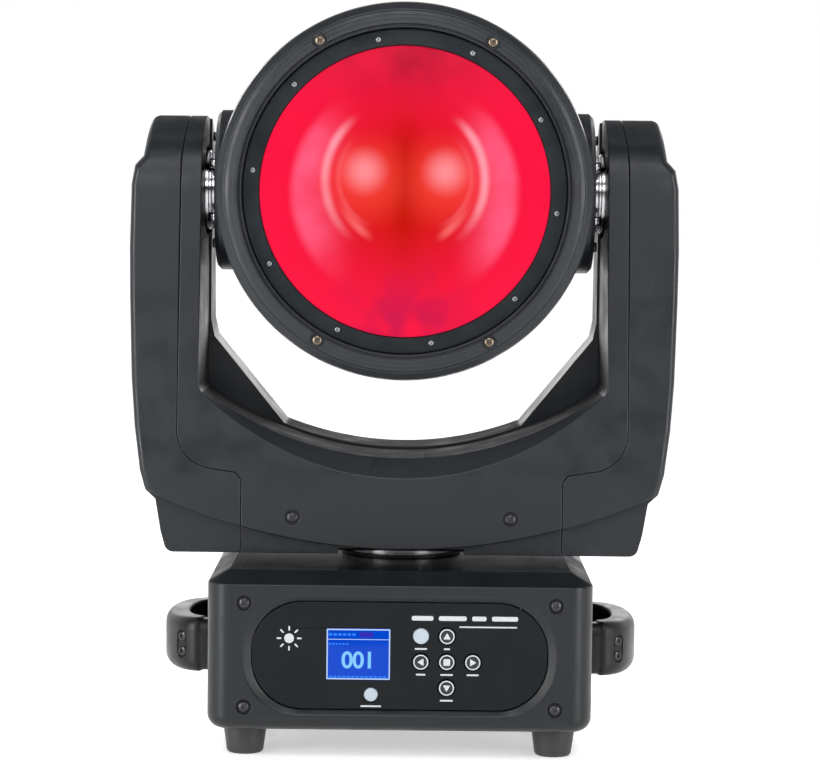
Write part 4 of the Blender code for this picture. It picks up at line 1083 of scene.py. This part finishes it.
def opening_section(wall, low, radius, grow):
    """The U between the arms: upright walls down to a wide arc."""
    wall += grow
    low -= grow
    steps = 26
    across = [wall * math.sin(math.radians(80 * i / steps)) for i in range(steps, -1, -1)]
    half = [(wall, 80.0), (wall, circle_depth(radius, low, wall * 0.99) + 3)]
    half += [(x, circle_depth(radius, low, x)) for x in across[:-1]]
    return lifted(mirrored(half))


def rear_opening(grow):
    """The opening of the yoke's rear half, whose lower corners are filled by slanted webs."""
    wall = 113.6 + grow
    half = [(wall, 80.0), (wall, -76.0), (111.5 + grow, -86.0 - grow / 2)]
    across = [70.0 - 5.0 * i for i in range(14)]
    half += [(x, circle_depth(FLOOR_RADIUS, FLOOR_LOW + 1.6 - grow, x)) for x in across]
    return lifted(mirrored(half))


def opening_cutters(grow):
    """The space between the arms as two solids: a flared front half and a webbed rear half."""
    face = YOKE_HALF_DEPTH
    mouth = opening_section(116.6, -MOUTH_RADIUS, MOUTH_RADIUS, grow)
    floor = opening_section(116.0, FLOOR_LOW, FLOOR_RADIUS, grow)
    end = opening_section(114.8, FLOOR_LOW, FLOOR_RADIUS, grow)
    seam = SEAM_Y + GAP / 2
    sections = [(mouth, -face - 20), (mouth, -face), (floor, -46 + grow / 2), (end, seam + grow)]
    return [
        loft("opening_front", sections),
        prism("opening_rear", [rear_opening(grow)], seam - 1 + grow, 90, "Y"),
    ]


def facet_cutters(grow):
    """The two strips that set the yoke's lower front and rear faces back below the crease."""
    across = [165.0 * i / 36 - 165.0 for i in range(73)]
    low = CREASE_LOW + grow
    outline = lifted([(x, circle_depth(CREASE_RADIUS, low, x)) for x in across])
    bottom = YOKE_LOW - 40
    outline = [(165.0, bottom), (-165.0, bottom), *outline]
    near = FACET_HALF_DEPTH - grow
    return [
        prism("facet_front", [outline], -90, -near, "Y"),
        prism("facet_rear", [outline], near, 90, "Y"),
    ]


def yoke_body(name, grow):
    """The yoke's silhouette kept inside its side profile."""
    silhouette = lifted(inset(yoke_silhouette(), grow) if grow else yoke_silhouette())
    solid = prism(name, [silhouette], -80, 80, "Y")
    return keep(solid, prism("side", [lifted(side_profile(grow))], -200, 200, "X"))


def seam_line(shift):
    """The seam between the middle covers and the right arm's cover, moved outwards by shift."""
    return [
        (125.2 + shift, REGION_TOP),
        (125.2 + shift, 40.0),
        (127.5 + shift, 19.0),
        (128.2 + shift, -114.0),
        *arc(106.2, -136.0, 22.0 + shift, 0, -75, 16),
        (94.5 + shift, -160.0 - shift),
        (SEAM_FOOT + shift, -164.0 - shift),
        (SEAM_FOOT + shift, REGION_FOOT),
    ]


def crease_line(shift):
    """The crease above the yoke's undertray, moved up by shift."""
    across = [135.0 - 135.0 * i / 30 for i in range(61)]
    return [(x, circle_depth(CREASE_RADIUS, CREASE_LOW + shift, x)) for x in across]


def middle_region(low, high):
    """The covers between the two seams and above the crease, from low to high along Y."""
    seam = [point for point in seam_line(-GAP / 2) if point[1] > -180]
    foot = SEAM_FOOT - GAP / 2
    crease = [point for point in crease_line(GAP / 2) if abs(point[0]) < foot]
    right = seam + [(foot, circle_depth(CREASE_RADIUS, CREASE_LOW + GAP / 2, foot))]
    left = [(-x, z) for x, z in reversed(right)]
    return prism("region", [lifted(right + crease + left)], low, high, "Y")


def tray_region():
    foot = SEAM_FOOT - GAP / 2
    crease = [point for point in crease_line(-GAP / 2) if abs(point[0]) < foot]
    edge = circle_depth(CREASE_RADIUS, CREASE_LOW - GAP / 2, foot)
    outline = [(foot, REGION_FOOT), (foot, edge), *crease, (-foot, edge), (-foot, REGION_FOOT)]
    return prism("region", [lifted(outline)], -90, 90, "Y")


def arm_region(side):
    outline = seam_line(GAP / 2) + [(REGION_SIDE, REGION_FOOT), (REGION_SIDE, REGION_TOP)]
    return prism("region", [lifted([(side * x, z) for x, z in outline])], -90, 90, "Y")


def yoke_skin():
    """All the yoke's covers as one hollow shell, with its edges rounded."""
    shell = yoke_body("yoke_skin", 0.0)
    bake(soften(shell, 4.0, 55, 6))
    cut(shell, *opening_cutters(0.0), *facet_cutters(0.0))
    hollow = yoke_body("hollow", YOKE_WALL)
    cut(hollow, *opening_cutters(YOKE_WALL), *facet_cutters(YOKE_WALL))
    cut(shell, hollow)
    cut(shell, rod("pan_clearance", 24.0, YOKE_LOW - 20, YOKE_LOW + 6, "Z", (0, 0, 0), 64))
    for side in (-1, 1):
        low, high = sorted((side * 105.0, side * 120.0))
        cut(shell, rod("tilt_clearance", 26.0, low, high, "X", (0, 0, TILT_Z), 64))
    return shell


def tray_recess():
    """A slope at the undertray's front that leaves the pan collar in view."""
    front = -FACET_HALF_DEPTH
    edge = YOKE_LOW + 2.9
    slope = [(front - 6, edge), (front, edge), (front + 16, YOKE_LOW - 0.1), (front - 6, YOKE_LOW - 4)]
    return prism("recess", [slope], -36, 36, "X")


def make_yoke_covers():
    """The yoke's skin parted into its covers along the seams, with two screws in the front one."""
    shell = yoke_skin()
    places = [(x, COVER_SCREW_FACE, COVER_SCREW_Z) for x in COVER_SCREW_X]
    regions = {
        "yoke_front_cover": middle_region(-90, SEAM_Y),
        "yoke_rear_cover": middle_region(SEAM_Y + GAP, 90),
        "yoke_undertray": tray_region(),
        "arm_cover_left": arm_region(-1),
        "arm_cover_right": arm_region(1),
    }
    details = {"yoke_front_cover": pockets(places, 4.2, -65), "yoke_undertray": [tray_recess()]}
    for node, region in regions.items():
        piece = keep(linked("skin_" + node, shell.data.copy()), region)
        if node in details:
            cut(piece, *details[node])
        soften(piece, 0.5, 42, 3)
        dress(piece, SHELL, "yoke", [node], 40)
    bpy.data.objects.remove(shell)
    mesh = screw_mesh("cover_screw", 3.1, 1.5, 1.35, 6)
    place_all("cover_screw", mesh, places, (0, -1, 0), BLACK_STEEL, "yoke", 25)


# ---------------------------------------------------------------- head


def head_turned(name, profile, steps=160):
    return turned(name, profile, "Y", (0, 0, TILT_Z), steps)


def round_lens(radius, degrees, y):
    """A place at an angle round the lens's axis."""
    turn = math.radians(degrees)
    return (radius * math.cos(turn), y, TILT_Z + radius * math.sin(turn))


def make_bezel():
    """The front ring: a stepped and grooved face, a tapered flank and a shelf for the lens."""
    face = BEZEL_LOW.y
    rear = BEZEL_HIGH.y
    profile = [(RING_RADIUS, face + 1.8), (90.2, face + 0.6), (90.9, face + 0.5), (91.3, face + 1.3)]
    profile += [(91.8, face + 1.3), (92.2, face), (93.2, face + 0.1), (94.6, face + 0.45)]
    profile += [(94.8, face + 0.65), (97.0, face + 1.25), (97.2, face + 1.5), (99.2, face + 2.3)]
    profile += [(99.7, face + 3.6), (100.4, face + 3.8), (103.8, -90), (105.0, -81), (105.4, rear)]
    profile += [(102.2, rear), (101.5, -84), (85.0, -84), (85.0, -87.7), (RING_RADIUS, -87.7)]
    bezel = head_turned("bezel", filleted(profile, 0.25, 2), 192)
    mesh = screw_mesh("bezel_screw", 2.7, 1.6, 1.2, 6)
    places = [round_lens(BEZEL_SCREW_RADIUS, angle, face + 2.2) for angle in (60, 120, 240, 300)]
    place_all("bezel_screw", mesh, places, (0, -1, 0), NICKEL, "head", 15)
    cut(bezel, *pockets(places, 4.1, face - 2))
    soften(bezel, 0.25, 60, 2)
    dress(bezel, SHELL, "head", ["front_bezel"], 30)


def make_lens_ring():
    """The black ring that holds the lens, with its small screws."""
    low, high = RING_LOW.y, RING_HIGH.y
    inner, outer = LENS_RADIUS + GAP, RING_RADIUS - GAP
    profile = [(inner, low + 0.9), (inner + 0.7, low), (outer - 0.4, low), (outer, low + 0.4)]
    profile += [(outer, high), (inner, high)]
    dress(head_turned("lens_retainer", profile), RING, "head", ["lens_ring"], 30)
    mesh = screw_mesh("ring_screw", 1.45, 0.8, 0.5, 6)
    places = [round_lens(84.8, 36 * i - 7.5, low) for i in range(10)]
    place_all("ring_screw", mesh, places, (0, -1, 0), RIVET, "head", 12)


def make_lens():
    """The domed lens on its flange."""
    crown = LENS_EDGE - LENS_LOW.y
    steps = 24
    edge = LENS_RADIUS - GAP
    dome = [(edge * i / steps, LENS_EDGE - crown * (1 - (i / steps) ** 2)) for i in range(steps + 1)]
    flange = (LENS_HIGH.x - LENS_LOW.x) / 2
    profile = dome + [(edge, LENS_SEAT), (flange, LENS_SEAT), (flange, LENS_HIGH.y), (0, LENS_HIGH.y)]
    dress(head_turned("lens_glass", profile), LENS, "head", ["front_lens"], 40)


def hub_clearances():
    radius = (HUB_HIGH.z - HUB_LOW.z) / 2 + GAP
    spans = [sorted((side * 80.0, side * 125.0)) for side in (-1, 1)]
    return [rod("hub_clearance", radius, low, high, "X", (0, 0, TILT_Z), 96) for low, high in spans]


def make_head_shells():
    """The ribbed front shell, and the rear shell that narrows to a disc of cooling slots."""
    radius = SHELL_HIGH.x
    inner = radius - 3.0
    split = SHELL_HIGH.y
    front = [(inner, SHELL_LOW.y), (radius - 0.8, SHELL_LOW.y), (radius, SHELL_LOW.y + 0.8)]
    groove = radius - 0.9
    for i in range(3):
        start = SHELL_LOW.y + 8 + 6 * i
        front += [(radius, start), (groove, start + 0.5), (groove, start + 2), (radius, start + 2.5)]
    front += [(radius, split - 0.5), (radius - 0.5, split), (inner, split)]
    cover = head_turned("shell_front", front)
    rear = HEAD_REAR
    outside = [(radius - 0.5, split + GAP), (radius, split + 0.8), (radius, 28), (103.0, 48), (97.0, 68)]
    outside += [(88.0, 86), (80.0, 94), (74.0, rear), (66.0, rear), (65.4, rear - 0.8), (63.6, rear - 0.8)]
    outside += [(63.0, rear), (0, rear)]
    inside = [(0, rear - 3.0), (76.0, 94), (85.0, 84), (97.5, 57), (inner, 28), (inner, split + GAP)]
    back = head_turned("shell_rear", filleted(outside + inside, 2.0, 4))
    cut(cover, *hub_clearances())
    cut(back, *hub_clearances())
    slots = []
    for i in range(7):
        rise = 14.0 * (i - 3)
        half = math.sqrt(56.0**2 - rise**2)
        slot = rounded_rectangle(2 * half, 5.0, 2.4, 6, 0, TILT_Z + rise)
        slots.append(prism("vent", [slot], rear - 8, rear + 5, "Y"))
    cut(back, *slots)
    soften(cover, 0.3, 50, 2)
    soften(back, 0.4, 50, 2)
    dress(cover, SHELL, "head", ["head_front_shell"], 30)
    dress(back, SHELL, "head", ["head_rear_shell"], 30)
    mesh = screw_mesh("shell_screw", 3.0, 1.5, 1.6, 4)
    places = [round_lens(69.5, angle, rear - 1.2) for angle in (45, 135, 225, 315)]
    place_all("shell_screw", mesh, places, (0, 1, 0), BLACK_STEEL, "head", 20)


def make_hub(node, side):
    """A tilt hub with a stepped disc, a bright collar, its hollow shaft and a ring of screws."""
    radius = (HUB_HIGH.z - HUB_LOW.z) / 2
    face = HUB_FACE
    centre = (0, 0, TILT_Z)
    disc = [(9, HUB_LOW.x), (radius, HUB_LOW.x), (radius, face - 2.4), (radius - 2.4, face)]
    disc += [(radius - 8, face), (radius - 8.6, face - 0.7), (radius - 10, face - 0.7)]
    disc += [(radius - 10.6, face), (23.4, face), (23.4, 106), (9, 106)]
    disc = filleted([(r, side * a) for r, a in disc], 0.4)
    dress(turned("disc_" + node, disc, "X", centre, 128), SHELL, "head", [node], 30)
    sleeve = [(9, 106.1), (23, 106.1), (23, 111.4), (22.2, 112), (22.2, 113), (23, 113.6), (23, 117)]
    sleeve += [(14, 117), (14, HUB_HIGH.x), (9, HUB_HIGH.x)]
    sleeve = filleted([(r, side * a) for r, a in sleeve], 0.3)
    dress(turned("collar_" + node, sleeve, "X", centre, 128), STEEL, "head", (), 30)
    turns = [math.radians(60 * i + 30) for i in range(6)]
    places = [(side * face, 31.0 * math.cos(t), TILT_Z + 31.0 * math.sin(t)) for t in turns]
    place_all(node + "_screw", SCREWS["hub"], places, (side, 0, 0), STEEL, "head", 20)


# ---------------------------------------------------------------- inner parts, stage, light and camera


def finish_inner_nodes():
    """Gives every CAD node that is still shown its detailed material and softened edges."""
    shown = {row["node"]: row["material_slot"] for row in frame["record"]["subparts"]}
    for node, slot in shown.items():
        obj = frame["nodes"][node]
        if obj.hide_render:
            continue
        obj.data.materials.clear()
        obj.data.materials.append(CAD_FINISHES[slot])
        soften(obj, 0.3, 40, 2).modifiers["edges"].use_clamp_overlap = True


def make_stage():
    """A white floor that glows a little, so that it stays white round the shadow."""
    bm = bmesh.new()
    bmesh.ops.create_grid(bm, x_segments=8, y_segments=8, size=12.0)
    floor = add("floor", bm)
    made = bpy.data.materials.new("floor_look")
    made.use_nodes = True
    shader = made.node_tree.nodes["Principled BSDF"]
    shader.inputs["Base Color"].default_value = (0.9, 0.9, 0.9, 1.0)
    shader.inputs["Roughness"].default_value = 0.35
    shader.inputs["Emission Color"].default_value = (1.0, 1.0, 1.0, 1.0)
    shader.inputs["Emission Strength"].default_value = 0.45
    floor.data.materials.append(made)


def make_world():
    """A surround that the camera sees as white, and that lights most from behind and from the sides."""
    world = bpy.data.worlds.new("studio")
    bpy.context.scene.world = world
    world.use_nodes = True
    tree = world.node_tree
    background = tree.nodes["Background"]
    axes = axes_of(tree, tree.nodes.new("ShaderNodeTexCoord").outputs["Generated"])
    depth = ramp(tree, axes["Y"], -0.3, 0.7, 0.05, 1.1)
    height = ramp(tree, axes["Z"], 0.4, 0.9, 0.0, -0.12)
    sides = link_math(tree, "POWER", link_math(tree, "ABSOLUTE", axes["X"]), 3.0)
    sides = link_math(tree, "MULTIPLY", sides, 0.45)
    total = link_math(tree, "ADD", link_math(tree, "ADD", depth, height), sides)
    path = tree.nodes.new("ShaderNodeLightPath")
    blend = tree.nodes.new("ShaderNodeMix")
    tree.links.new(path.outputs["Is Camera Ray"], blend.inputs[0])
    tree.links.new(total, blend.inputs[2])
    blend.inputs[3].default_value = 1.0
    tree.links.new(blend.outputs[0], background.inputs["Strength"])
    background.inputs["Color"].default_value = (1.0, 1.0, 1.0, 1.0)


def make_softbox(name, place, target, width, height, power):
    """A rectangular light that shines from place to target. Lengths are in metres."""
    light = bpy.data.lights.new(name, "AREA")
    light.shape = "RECTANGLE"
    light.size = width
    light.size_y = height
    light.energy = power
    made = linked(name, light)
    made.location = place
    made.rotation_euler = (Vector(target) - Vector(place)).to_track_quat("-Z", "Y").to_euler()


def make_lights():
    middle = (0, 0, 0.2)
    make_softbox("box_left", (-1.35, -1.05, 0.6), middle, 0.5, 1.3, 21)
    make_softbox("box_right", (1.35, -1.05, 0.6), middle, 0.5, 1.3, 16)
    make_softbox("box_front", (-0.15, -1.9, 0.95), (0, 0, 0.3), 1.3, 0.4, 9)
    make_softbox("box_top", (0, -1.2, 1.5), middle, 1.2, 0.5, 9)
    make_softbox("box_back", (0, 1.7, 0.9), middle, 2.0, 1.0, 12)


def make_camera():
    """A long lens from the front, slightly above the middle."""
    camera = bpy.data.cameras.new("camera")
    camera.lens = CAMERA_LENS
    camera.sensor_width = 36.0
    made = linked("camera", camera)
    tilt = Matrix.Rotation(math.radians(90 - CAMERA_PITCH), 4, "X")
    roll = Matrix.Rotation(math.radians(CAMERA_ROLL), 4, "Z")
    made.matrix_world = Matrix.Translation(CAMERA_PLACE) @ tilt @ roll
    bpy.context.scene.camera = made
    bpy.context.scene.view_settings.view_transform = "Standard"


make_base_cover()
make_buttons()
make_panel()
make_display()
make_feet()
make_handle("handle_left", -1)
make_handle("handle_right", 1)
make_pan_collar()
make_bottom_details()
make_connectors()
make_yoke_covers()
make_bezel()
make_lens_ring()
make_lens()
make_head_shells()
make_hub("tilt_hub_left", -1)
make_hub("tilt_hub_right", 1)
finish_inner_nodes()
make_stage()
make_world()
make_lights()
make_camera()
